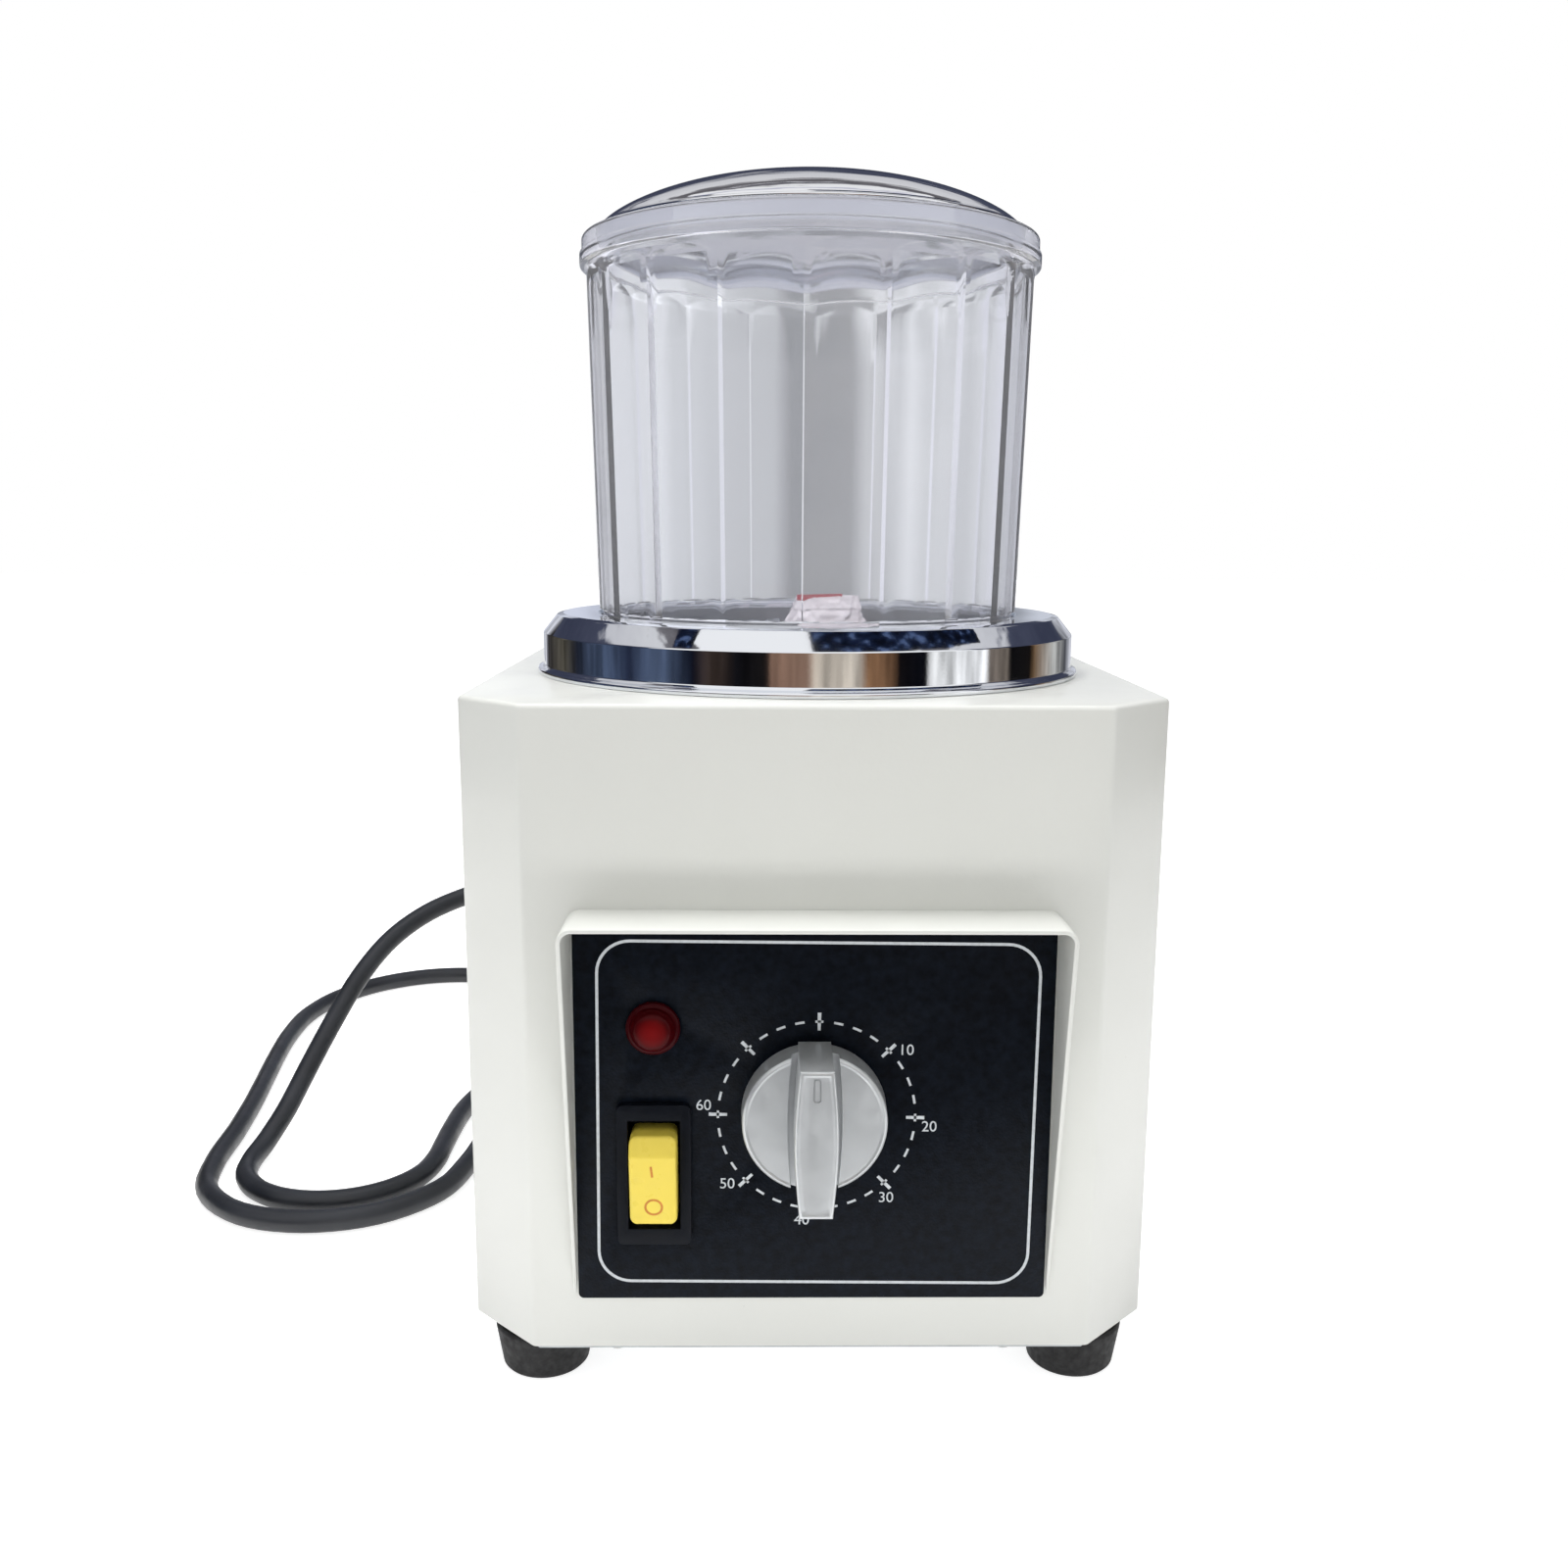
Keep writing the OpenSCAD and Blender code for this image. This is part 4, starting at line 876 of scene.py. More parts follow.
def paddle_mesh():
    corner, edge = 2.2 * MM, 0.7 * MM
    rows = [-12.9, -12.8, -12.6, -12.3, -11.9, -11.4, -10.8, -9, -5, 0, 4, 6.8, 7.2, 7.7, 8.2, 8.8,
            10.2, 10.8, 11.4, 11.9, 12.3, 12.6, 12.8, 12.9]
    shares = [-1, -0.985, -0.96, -0.93, -0.9, -0.6, -0.2, 0.2, 0.6, 0.9, 0.93, 0.96, 0.985, 1]
    points, faces = [], []
    for z in rows:
        z = z * MM
        over = max(0, abs(z) - (PAD_L / 2 - corner))
        half = PAD_W / 2 - (corner - math.sqrt(max(0, corner ** 2 - over ** 2)))
        for share in shares:
            x = half * share
            gap = min(half - abs(x), (PAD_L / 2 - abs(z)))
            drop = edge - math.sqrt(max(0, edge ** 2 - (edge - gap) ** 2)) if gap < edge else 0
            points.append(SWITCH + Vector((x, -pad_front(z) + drop, z)))
    n = len(shares)
    for i in range(len(rows) - 1):
        for j in range(n - 1):
            faces.append([i * n + j, i * n + j + 1, (i + 1) * n + j + 1, (i + 1) * n + j])
    rim = list(range(n)) + [i * n + n - 1 for i in range(1, len(rows))]
    rim += [(len(rows) - 1) * n + j for j in range(n - 2, -1, -1)]
    rim += [i * n for i in range(len(rows) - 2, 0, -1)]
    back = len(points)
    points += [Vector((points[k].x, FACE + 3.5 * MM, points[k].z)) for k in rim]
    for k in range(len(rim)):
        j = (k + 1) % len(rim)
        faces.append([rim[k], rim[j], back + j, back + k])
    faces.append([back + k for k in range(len(rim))])
    return outward(mesh_of("rocker_pad", points, faces))


paddle_gloss = Finish("yellow_moulding", tone(238, 214, 84), 0.3)
paddle_gloss.cloudy(90, 0.96, 1.03).uneven(200, 0.24, 0.38).textured(1800, 0.00003, 0.4)
rocker_pad = piece("rocker_pad", paddle_mesh(), "paddle", paddle_gloss.material, ("rocker_paddle",), sharp=50)
mark_ink = Finish("orange_mark", tone(203, 128, 46), 0.45)
mark_ink.cloudy(800, 0.9, 1.1)


def on_paddle(points, name):
    """A thin printed patch that follows the front of the paddle; the corners are in millimetres."""
    n = len(points)
    points = [(x * MM, z * MM) for x, z in points]
    front = [SWITCH + Vector((x, -pad_front(z) - INK, z)) for x, z in points]
    back = [p + Vector((0, 0.1 * MM, 0)) for p in front]
    faces = [list(range(n)), list(range(n, 2 * n))[::-1]]
    faces += [[k, (k + 1) % n, n + (k + 1) % n, n + k] for k in range(n)]
    return outward(mesh_of(name, front + back, faces))


line_mark = on_paddle([(-0.75, 5.1), (-0.15, 5.2), (0.15, 1.9), (-0.45, 1.8)], "line")
RING_STEPS = 36
RING_OUT, RING_IN = 2.55, 1.95
ring_quads = []
for k in range(RING_STEPS):
    a, b = 2 * math.pi * k / RING_STEPS, 2 * math.pi * (k + 1) / RING_STEPS
    quad = [(0.1 + r * math.sin(t), -7.4 + r * math.cos(t))
            for r, t in ((RING_OUT, a), (RING_OUT, b), (RING_IN, b), (RING_IN, a))]
    ring_quads.append(on_paddle(quad, "quad"))
piece("rocker_marks", joined([line_mark] + ring_quads, "rocker_marks"), "paddle", mark_ink.material, sharp=30)
print("rocker_pad", len(rocker_pad.data.polygons), "faces")

# %% The bezel
bezel_finish = Finish("switch_plastic", tone(10, 14, 22), 0.4)
bezel_finish.set("Specular IOR Level", 0.15)
bezel_finish.cloudy(150, 0.85, 1.2).uneven(300, 0.34, 0.5).textured(1600, 0.00006, 0.5)
switch_bezel = softened("rocker_housing", "switch_bezel", "base", bezel_finish.material, 0.7, 3, sharp=45)
print("switch_bezel", len(switch_bezel.data.polygons), "faces")

# %% [markdown]
# ## The pilot lamp
# The lens is a low dome of dark red plastic with a small step round it. With the lamp off, only a
# reflector behind it shows as a brighter patch in the middle. The patch is a painted reflection: a
# lighter red painted by the distance from a point inside the dome, on the lamp's own axis.

# %% The lamp
LAMP_LOW, LAMP_HIGH = box("lamp_lens")
LAMP = Vector(((LAMP_LOW.x + LAMP_HIGH.x) / 2, FACE, (LAMP_LOW.z + LAMP_HIGH.z) / 2))


def lens_outline():
    dome_r, dome_foot, dome_rise = 5.2, 3.8, 1.6
    corners = [(0, 0, 0), (7.33, 0, 0), (7.33, 1.25, 0.5), (6.7, 1.75, 0.25), (6.2, 1.9, 0.2),
               (5.9, 2.9, 0.5), (dome_r, dome_foot, 0)]
    points = [(p.x * MM, p.y * MM) for p in eased(corners, 3)]
    dome = [(dome_r * math.cos(math.radians(t)) * MM,
             (dome_foot + dome_rise * math.sin(math.radians(t))) * MM) for t in range(10, 91, 10)]
    return points + [(max(0, r), z) for r, z in dome]


lens_red = Finish("lens_red", tone(70, 2, 5), 0.3)
lens_red.textured(900, 0.00004, 0.3)
lens_red.set("Specular IOR Level", 0.1)
# Painted reflection: the ramp below makes the lens lighter red near a point on its axis, where a lit
# reflector would show.
position = lens_red.node("ShaderNodeTexCoord")
axis = lens_red.node("ShaderNodeVectorMath", operation="DISTANCE")
axis.inputs[1].default_value = LAMP + Vector((0, -4 * MM, 0))
lens_red.link(position.outputs["Object"], axis.inputs[0])
ramp = lens_red.node("ShaderNodeValToRGB")
ramp.color_ramp.elements[0].position = 0.1
ramp.color_ramp.elements[0].color = tone(118, 5, 7)
ramp.color_ramp.elements[1].position = 1.0
ramp.color_ramp.elements[1].color = tone(52, 0, 5)
ramp.color_ramp.elements.new(0.45).color = tone(92, 3, 6)
ramp.color_ramp.elements.new(0.6).color = tone(64, 1, 5)
reach = lens_red.node("ShaderNodeMath", operation="MULTIPLY")
reach.inputs[1].default_value = 1 / (7.4 * MM)
lens_red.link(axis.outputs["Value"], reach.inputs[0])
lens_red.link(reach.outputs[0], ramp.inputs["Fac"])
lens_red.link(ramp.outputs["Color"], lens_red.shader.inputs["Base Color"])
lens = moved(turned("pilot_lens", lens_outline(), 64, Vector((0, 0, 0)), close=False), forward_place(*LAMP))
pilot_lens = piece("pilot_lens", lens, "base", lens_red.material, ("lamp_lens",), sharp=40)
print("pilot_lens", [round(v * 1000, 1) for v in pilot_lens.dimensions], "mm")

# %% [markdown]
# ## The feet
# Each foot is a tapered plug of black rubber. Moulded rubber is matt, a little grey from dust, and its
# edges are full.

# %% The feet
rubber = Finish("foot_rubber", tone(24, 24, 25), 0.75)
rubber.cloudy(260, 0.7, 1.5).uneven(500, 0.62, 0.85).textured(1500, 0.0001, 0.8)
FOOT_H = box("foot_front_left")[1].z
foot_outline = [(5, 0.35, 0.3), (5.6, 0, 0.3), (11.6, 0, 0.6), (12.5, 1.0, 0.9), (14.45, 12.8, 0.9),
                (13.9, 13.75, 0.4), (2.2, 13.75, 0), (2.2, 8, 0), (5, 8, 0.3)]
for name in ("foot_front_left", "foot_front_right", "foot_rear_left", "foot_rear_right"):
    low, high = box(name)
    outline = [(p.x * MM, p.y * MM) for p in eased(foot_outline, 4)]
    mesh = turned(name + "_rubber", outline, 64, (low + high) / 2)
    piece(name + "_rubber", mesh, "base", rubber.material, (name,), sharp=45)
print("feet", round(FOOT_H * 1000, 1), "mm high")

# %% [markdown]
# ## The chromed ring
# The ring is a pressing with a thin lip at its foot, an upright wall, a bevel and a flat land round
# the bowl. Chrome has almost no colour of its own, so it shows the room: the finish only adds the
# faint waves of a plated pressing, and the cards of the studio do the rest.

# %% The ring
chrome = Finish("ring_chrome", (0.80, 0.82, 0.86, 1), 0.045, 1.0)
chrome.uneven(40, 0.03, 0.07).textured(26, 0.0006, 0.12, detail=1.0).textured(900, 0.00001, 0.3)
RING_LOW, RING_HIGH = box("chrome_ring")
RING_R = (RING_HIGH.x - RING_LOW.x) / 2
RING_H = RING_HIGH.z - RING_LOW.z
ring_corners = [
    (81.9, 0.05, 0), (86.2, 0.05, 0.3), (86.3, 1.5, 0.9), (84.9, 2.15, 0.6), (84.3, 2.8, 0.7),
    (84.3, 12.4, 0.8), (79.9, 17.9, 0.9), (78.0, 18.35, 0.6), (67.0, 18.35, 0.7), (66.1, 17.6, 0.5),
    (66.1, 15.9, 0.3), (77.6, 15.9, 0.5), (81.9, 10.8, 0.5),
]
ring_outline = [(p.x * MM, TOP + p.y * MM) for p in eased(ring_corners, 5)]
piece("ring_pressing", turned("ring_pressing", ring_outline, 192), "base", chrome.material,
      ("chrome_ring",), sharp=50)
print("ring radius", round(RING_R, 4), "height", round(RING_H, 4))

# %% [markdown]
# ## The clear bowl
# The bowl is moulded in clear plastic with a faint lavender cast. Its outside has eighteen flats that
# run out in small arches under the rim, and shallower flats inside. At each angle, the outside is the
# lower of two surfaces: the turned wall and the plane of the nearest flat. That one rule draws the
# arches by itself. The numbers in this cell and the next are in millimetres from the bowl's foot.

# %% The bowl's surfaces
BOWL_LOW, BOWL_HIGH = box("bowl")
FLATS = 18
FLAT = math.cos(math.pi / FLATS)  # a flat's distance from the axis, as a share of its corners' distance
FIRST_EDGE = math.radians(-93)
FAR = 999
foot_r, edge_r, rim_r = 65.5, 69.0, 71.0
height = (BOWL_HIGH.z - BOWL_LOW.z) / MM
lip = height - 8.4
flat_top = lip - 2.7
wall_foot = 16.3
plane_line = [(wall_foot, 66.5 * FLAT), (flat_top - 1.6, edge_r * FLAT),
              (flat_top - 0.7, edge_r * FLAT + 0.3), (flat_top + 1.4, edge_r + 0.1),
              (flat_top + 3, edge_r + 3)]


def plane_at(z):
    """Distance of a flat from the axis at a height, or far away where there is no flat."""
    if z < wall_foot:
        return FAR
    for (z0, d0), (z1, d1) in zip(plane_line, plane_line[1:]):
        if z <= z1:
            return d0 + (d1 - d0) * (z - z0) / (z1 - z0)
    return FAR


def off_middle(angle):
    """The angle from the middle of the nearest flat."""
    return (angle - FIRST_EDGE) % (2 * math.pi / FLATS) - math.pi / FLATS


def flat_limit(angle, z):
    """How far out the nearest flat lies at an angle and a height."""
    return plane_at(z) / math.cos(off_middle(angle))


outer_corners = [(foot_r, 0, 1.8), (foot_r, wall_foot - 0.4, 0.3), (foot_r + 1, wall_foot + 0.1, 0.2),
                 (edge_r, lip - 1.6, 0), (edge_r + 0.5, lip - 0.3, 0.4), (rim_r, lip, 0.5),
                 (rim_r, lip + 3.7, 0.5), (rim_r - 0.7, lip + 3.9, 0.2), (rim_r - 0.7, height, 0.9)]
inner_corners = [(65.4, height, 0.8), (65.4, height - 8.2, 0), (62.5, 8, 0), (62.5, 4, 3.0)]
outer_line = [(0, 0)] + [tuple(p) for p in eased([(0, 0, 0)] + outer_corners + [(66, height, 0)], 5)][1:-1]
inner_line = [tuple(p) for p in eased([(68, height, 0)] + inner_corners + [(0, 4, 0)], 5)][1:-1] + [(0, 4)]


def inner_reach(angle, r, z):
    """The inside carries the same flats, a little shallower, between the foot and the mouth."""
    share = max(0, min(1, (z - 5) / 3, (height - 9 - z) / 3))
    return r * (1 - 0.9 * share * (1 - FLAT / math.cos(off_middle(angle))))


def filled(line, fine):
    """Adds rows so that no step of a nearly upright stretch is longer than fine allows."""
    rows = [line[0]]
    for (r0, z0), (r1, z1) in zip(line, line[1:]):
        parts = max(1, math.ceil(abs(z1 - z0) / fine((z0 + z1) / 2)))
        rows += [(r0 + (r1 - r0) * k / parts, z0 + (z1 - z0) * k / parts) for k in range(1, parts + 1)]
    return rows


def bowl_mesh():
    per_flat = 14
    count = FLATS * per_flat
    angles = [FIRST_EDGE + 2 * math.pi * k / count for k in range(count)]
    marks = [z for z, _ in plane_line[:4]]
    line = outer_line[:]
    for (r0, z0), (r1, z1) in zip(outer_line, outer_line[1:]):
        for z in marks:
            if z1 > z0 + 0.01 and z0 < z < z1:
                line.append((r0 + (r1 - r0) * (z - z0) / (z1 - z0), z))
    foot = [p for p in line if p[0] < foot_r - 0.01]
    wall = [p for p in line if p[0] >= foot_r - 0.01 and p[1] <= height - 1.5]
    wall.sort(key=lambda p: (p[1], p[0]))
    tail = [p for p in line if p not in foot and p not in wall]
    rows = foot + filled(wall, lambda z: 0.25 if flat_top - 2 < z < lip - 0.5 else 9.0) + tail
    outer_rows = len(rows)
    rows += filled(inner_line, lambda z: 1.0 if z < 9 or z > height - 13 else 12.0)
    points, faces, rings = [], [], []
    for i, (r, z) in enumerate(rows):
        if r < 1e-6:
            rings.append([len(points)])
            points.append((SPIN.x, SPIN.y, BOWL_LOW.z + z * MM))
            continue
        rings.append(list(range(len(points), len(points) + count)))
        for angle in angles:
            reach = min(r, flat_limit(angle, z)) if i < outer_rows else inner_reach(angle, r, z)
            points.append((SPIN.x + reach * MM * math.cos(angle), SPIN.y + reach * MM * math.sin(angle),
                           BOWL_LOW.z + z * MM))
    for low, high in zip(rings, rings[1:]):
        for k in range(count):
            n = (k + 1) % count
            face = [low[k % len(low)], low[n % len(low)], high[n % len(high)], high[k % len(high)]]
            face = list(dict.fromkeys(face))
            if len(face) > 2:
                faces.append(face)
    return outward(mesh_of("clear_bowl", points, faces))


clear = Finish("clear_plastic", (0.94, 0.945, 0.965, 1), 0.03)
clear.set("Transmission Weight", 0.93).set("IOR", 1.49).uneven(30, 0.015, 0.05)
clear.textured(18, 0.0008, 0.1, detail=1.0)
clear_bowl = piece("clear_bowl", bowl_mesh(), "bowl_set", clear.material, ("bowl",), sharp=13)
clear_bowl.visible_shadow = False
print("clear_bowl", len(clear_bowl.data.polygons), "faces", [round(v, 4) for v in clear_bowl.dimensions])

# %% [markdown]
# ## The bag of pins
# A small film bag of steel pins comes with the machine and lies in the bowl. The bag is a pouch, wide
# at its foot and pinched to a short edge at its top, and two sizes of noise crease its surface. The
# heap of pins is a smaller, rougher lump inside it, and a red line runs along its mouth.

# %% The bag
BAG_LOW, BAG_HIGH = box("pin_bag")


def bag_mesh(shrink, fold, name, steps=48):
    """A folded pouch: wide at its foot, pinched to a short edge at its top, with soft creases."""
    middle = (BAG_LOW + BAG_HIGH) / 2
    half = (BAG_HIGH - BAG_LOW) / 2
    tall = BAG_HIGH.z - BAG_LOW.z - 0.6 * MM
    around = 2 * steps
    points, faces = [], []
    for i in range(steps + 1):
        up = i / steps
        bulge = math.sin(math.pi * min(1, up * 1.15 + 0.12)) ** 0.5 if up < 0.75 else 1
        for k in range(around):
            u = 2 * math.pi * k / around
            x = math.copysign(abs(math.cos(u)) ** 0.6, math.cos(u)) * half.x * (1 - 0.44 * up)
            y = math.copysign(abs(math.sin(u)) ** 0.7, math.sin(u)) * half.y
            y = y * (1 - 0.9 * up) * (0.9 + 0.1 * bulge)
            at = Vector((math.cos(u) * 1.4, math.sin(u) * 1.4, up * 1.6))
            crease = 1 - 2 * abs(wobble.noise(at * 1.7 + Vector((3, 1, 7)))) - abs(wobble.noise(at * 4.1))
            size = shrink * (0.9 + fold * crease)
            points.append(Vector((middle.x + (x + 0.1 * half.x * up) * min(1, size),
                                  middle.y + y * min(1, size),
                                  BAG_LOW.z + 0.1 * MM + tall * up * min(1, shrink + 0.1))))
    for i in range(steps):
        for k in range(around):
            n = (k + 1) % around
            faces.append([i * around + k, i * around + n, (i + 1) * around + n, (i + 1) * around + k])
    faces += [list(range(around))[::-1], [steps * around + k for k in range(around)]]
    return outward(mesh_of(name, points, faces))


film = Finish("bag_film", tone(252, 244, 248), 0.16)
film.set("Transmission Weight", 0.3).set("IOR", 1.3).set("Coat Weight", 0.5).set("Coat Roughness", 0.1)
film.cloudy(160, 0.8, 1.05).textured(120, 0.0015, 0.5).textured(420, 0.0005, 0.4)
film_bag = piece("film_bag", bag_mesh(1.0, 0.14, "film_bag"), "bowl_set", film.material, ("pin_bag",),
                 sharp=60)
pin_pile = Finish("steel_pins", tone(240, 226, 232), 0.4, 0.2)
pin_pile.cloudy(900, 0.55, 1.2, stretch=(1, 6, 2)).textured(1500, 0.0009, 1.0, stretch=(1, 7, 2))
film_bag.visible_shadow = False
piece("pin_heap", bag_mesh(0.72, 0.12, "pin_heap", 36), "bowl_set", pin_pile.material, sharp=60)


def bag_mouth():
    """The red line of the bag's mouth, along its upper edge."""
    steps = 24
    points, faces = [], []
    for k in range(steps + 1):
        t = k / steps
        x = BAG_LOW.x + (BAG_HIGH.x - BAG_LOW.x) * (0.27 + 0.4 * t)
        y = (BAG_LOW.y + BAG_HIGH.y) / 2 - (1.35 + 0.1 * math.sin(t * 5)) * MM
        z = BAG_HIGH.z - (2.0 - 0.3 * t) * MM
        points += [(x, y - 0.25 * MM, z), (x, y - 0.15 * MM, z + 1.7 * MM), (x, y + 0.3 * MM, z + 1.7 * MM)]
    for k in range(steps):
        a, b = 3 * k, 3 * k + 3
        faces += [[a, a + 1, b + 1, b], [a + 1, a + 2, b + 2, b + 1], [a + 2, a, b, b + 2]]
    end = 3 * steps
    faces += [[0, 1, 2], [end, end + 1, end + 2]]
    return outward(mesh_of("bag_mouth_line", points, faces))


line_red = Finish("bag_line_red", tone(196, 70, 84), 0.4)
line_red.cloudy(400, 0.85, 1.15)
piece("bag_mouth_line", bag_mouth(), "bowl_set", line_red.material, sharp=60)
print("bag made")

# %% [markdown]
# ## The lid
# The lid is spun from thin sheet and chromed: a shallow dome, a rolled bead that rests on the bowl's
# rim and a short skirt inside it. The dome is fuller at its edge than a slice of a ball. A thin clear
# seal lies under the bead.

# %% The lid
LID_LOW, LID_HIGH = box("lid")
lid_chrome = Finish("lid_chrome", (0.80, 0.81, 0.84, 1), 0.05, 1.0)
lid_chrome.uneven(50, 0.035, 0.09).textured(20, 0.0008, 0.1, detail=1.0).textured(1200, 0.00001, 0.25)


def lid_outline():
    """Outside, bead and inside of the lid, as (radius, height) points from the top of the dome."""
    rise, bead = 16.2, 1.2
    skirt_out, skirt_in = 64.8, 64.0
    shell = 0.8
    bead_out = (LID_HIGH.x - LID_LOW.x) / 2 / MM
    edge = bead_out - 1.0
    top = LID_HIGH.z / MM
    foot = LID_LOW.z / MM
    seat = LID_LOW.z / MM + 6.2

    def crown(r, reach, low, high):
        return low + (high - low) * (1 - (r / reach) ** 2.2) ** 0.75

    outside = [edge * math.sin(math.radians(90 * k / 48)) for k in range(48)]
    outside = [(r, crown(r, edge, top - rise, top)) for r in outside]
    corners = [(edge, seat + bead, 0), (bead_out, seat + bead - 0.1, 0.5), (bead_out, seat, 0.5),
               (64.85, seat, 0.2), (skirt_out, foot, 0.3), (skirt_in, foot, 0.3), (skirt_in, seat + bead, 0)]
    rolled = [(p.x, p.y) for p in eased(corners, 4)]
    inside = [63.2 * math.cos(math.radians(90 * k / 24)) for k in range(24)] + [0]
    inside = [(r, crown(r, 63.9, seat + bead, top - shell)) for r in inside]
    return [(r * MM, z * MM) for r, z in outside + rolled + inside]


dome_lid = piece("dome_lid", turned("dome_lid", lid_outline(), 192, close=False), "lid_set",
                 lid_chrome.material, ("lid",), sharp=40)
dome_lid.visible_shadow = False
dome_lid.visible_diffuse = False
seal = Finish("seal_silicone", (0.93, 0.94, 0.96, 1), 0.25)
seal.set("Transmission Weight", 0.7).set("IOR", 1.41).uneven(300, 0.2, 0.35)
low, high = box("lid_seal")
seal_out = (high.x - low.x) / 2
seal_in = 64.95 * MM
seal_ring = [(seal_in, low.z), (seal_out - 0.2 * MM, low.z), (seal_out, (low.z + high.z) / 2),
             (seal_out - 0.2 * MM, high.z), (seal_in, high.z)]
piece("seal_ring", turned("seal_ring", seal_ring, 160), "lid_set", seal.material, ("lid_seal",), sharp=40)
print("dome_lid", [round(v, 4) for v in dome_lid.dimensions])

# %% [markdown]
# ## Inside the casing
# The machine opens from below and from the top, so everything inside is finished too. These CAD nodes
# already have their real shapes: a motor in a cast frame, its bracket, the magnet disc, the timer and
# the wiring. Nearly each gets a softened copy and a finish with the grain of its own process; the
# windings and the wires keep their own meshes and only get a finish. The finishes come first.

# %% Metals
zinc = Finish("zinc_plate", tone(178, 182, 184), 0.38, 0.9)
zinc.cloudy(90, 0.82, 1.1).uneven(160, 0.28, 0.5).textured(900, 0.00003, 0.6)
steel = Finish("screw_steel", tone(190, 190, 188), 0.3, 1.0)
steel.uneven(700, 0.2, 0.42, stretch=(1, 1, 6)).cloudy(300, 0.85, 1.08)
cast = Finish("cast_alloy", tone(168, 170, 172), 0.52, 0.8)
cast.cloudy(160, 0.85, 1.1).uneven(260, 0.42, 0.62).textured(700, 0.00018, 0.7)
laminated = Finish("core_steel", tone(96, 100, 108), 0.45, 0.85)
laminated.cloudy(200, 0.8, 1.15).textured(1, 0.00025, 0.8, stretch=(30, 30, 2400), detail=0.0)
copper = Finish("copper_wire", tone(186, 98, 52), 0.32, 0.9)
copper.cloudy(400, 0.75, 1.15).textured(1, 0.0004, 0.9, stretch=(260, 260, 1600), detail=1.0)
magnet_plating = Finish("magnet_plating", tone(196, 194, 186), 0.18, 1.0)
magnet_plating.uneven(300, 0.12, 0.3).cloudy(240, 0.9, 1.06)
machined = Finish("disc_aluminium", tone(190, 193, 196), 0.34, 1.0)
machined.uneven(1, 0.26, 0.44, stretch=(900, 900, 3)).cloudy(120, 0.92, 1.05).textured(1400, 0.00002, 0.4)
black_steel = Finish("black_steel", tone(26, 27, 30), 0.5, 0.3)
black_steel.cloudy(200, 0.7, 1.4).uneven(400, 0.4, 0.62).textured(1100, 0.00008, 0.6)
brass = Finish("tab_brass", tone(190, 158, 92), 0.28, 1.0)
brass.uneven(500, 0.2, 0.4, stretch=(1, 6, 1)).cloudy(200, 0.85, 1.08)
print("metals ready")

# %% Plastics
def moulded(name, colour, rough):
    finish = Finish(name, colour, rough)
    return finish.cloudy(130, 0.88, 1.12).uneven(260, rough - 0.08, rough + 0.1).textured(1500, 0.00006, 0.5)


black_plastic = moulded("black_moulding", tone(28, 29, 32), 0.45)
cream_plastic = moulded("cream_moulding", tone(222, 214, 190), 0.42)
wire_sleeve = moulded("wire_sleeve", tone(160, 34, 30), 0.4)
deck_satin = Finish("deck_satin", tone(206, 208, 216), 0.42, 0.0)
deck_satin.cloudy(70, 0.9, 1.06).uneven(110, 0.28, 0.46).textured(1200, 0.00003, 0.4)
can = Finish("capacitor_can", tone(200, 203, 206), 0.3, 0.95)
can.uneven(1, 0.22, 0.4, stretch=(400, 4, 400)).cloudy(80, 0.92, 1.05)
print("plastics ready")

# %% Softened copies of the inner pieces
inner_pieces = [
    ("base_plate", "floor_pan", "base", zinc, 0.3), ("base_screws", "pan_screws", "base", steel, 0.15),
    ("foot_screws", "foot_bolts", "base", steel, 0.15), ("ring_screws", "ring_bolts", "base", steel, 0.15),
    ("deck_plate", "deck_disc", "base", deck_satin, 0.4),
    ("magnet_disc", "spinning_disc", "spindle", machined, 0.5),
    ("magnets", "disc_magnets", "spindle", magnet_plating, 0.3),
    ("disc_hub", "hub_boss", "spindle", machined, 0.4), ("disc_screws", "hub_bolts", "spindle", steel, 0.15),
    ("hub_set_screw", "grub_screw", "spindle", black_steel, 0.1),
    ("motor_shaft", "drive_shaft", "spindle", steel, 0.3),
    ("rotor", "rotor_stack", "spindle", laminated, 0.3),
    ("cooling_fan", "fan_wheel", "spindle", black_plastic, 0.3),
    ("bearing_upper", "top_bearing", "base", steel, 0.2),
    ("bearing_lower", "low_bearing", "base", steel, 0.2),
    ("stator_core", "lamination_stack", "base", laminated, 0.25),
    ("end_bell_upper", "top_bell", "base", cast, 0.5), ("end_bell_lower", "low_bell", "base", cast, 0.5),
    ("motor_bolts", "through_bolts", "base", steel, 0.15), ("motor_nuts", "bolt_nuts", "base", steel, 0.15),
    ("motor_bracket", "cross_bracket", "base", zinc, 0.35),
    ("bracket_studs", "weld_studs", "base", steel, 0.15),
    ("bracket_spacers", "stud_spacers", "base", zinc, 0.2),
    ("bracket_nuts", "stud_nuts", "base", steel, 0.15),
    ("run_capacitor", "capacitor_can", "base", can, 0.6), ("capacitor_clip", "can_clip", "base", zinc, 0.2),
    ("terminal_block", "connector_block", "base", cream_plastic, 0.4),
    ("timer_stem", "timer_spindle", "knob", brass, 0.2),
    ("timer_body", "timer_case", "base", cream_plastic, 0.6),
    ("timer_nut", "panel_nut", "base", steel, 0.2), ("switch_tabs", "push_tabs", "base", brass, 0.15),
    ("lamp_body", "lamp_barrel", "base", black_plastic, 0.3),
    ("lamp_nut", "lamp_ring_nut", "base", black_plastic, 0.25),
    ("strain_relief", "cord_gland", "base", black_plastic, 0.3),
]
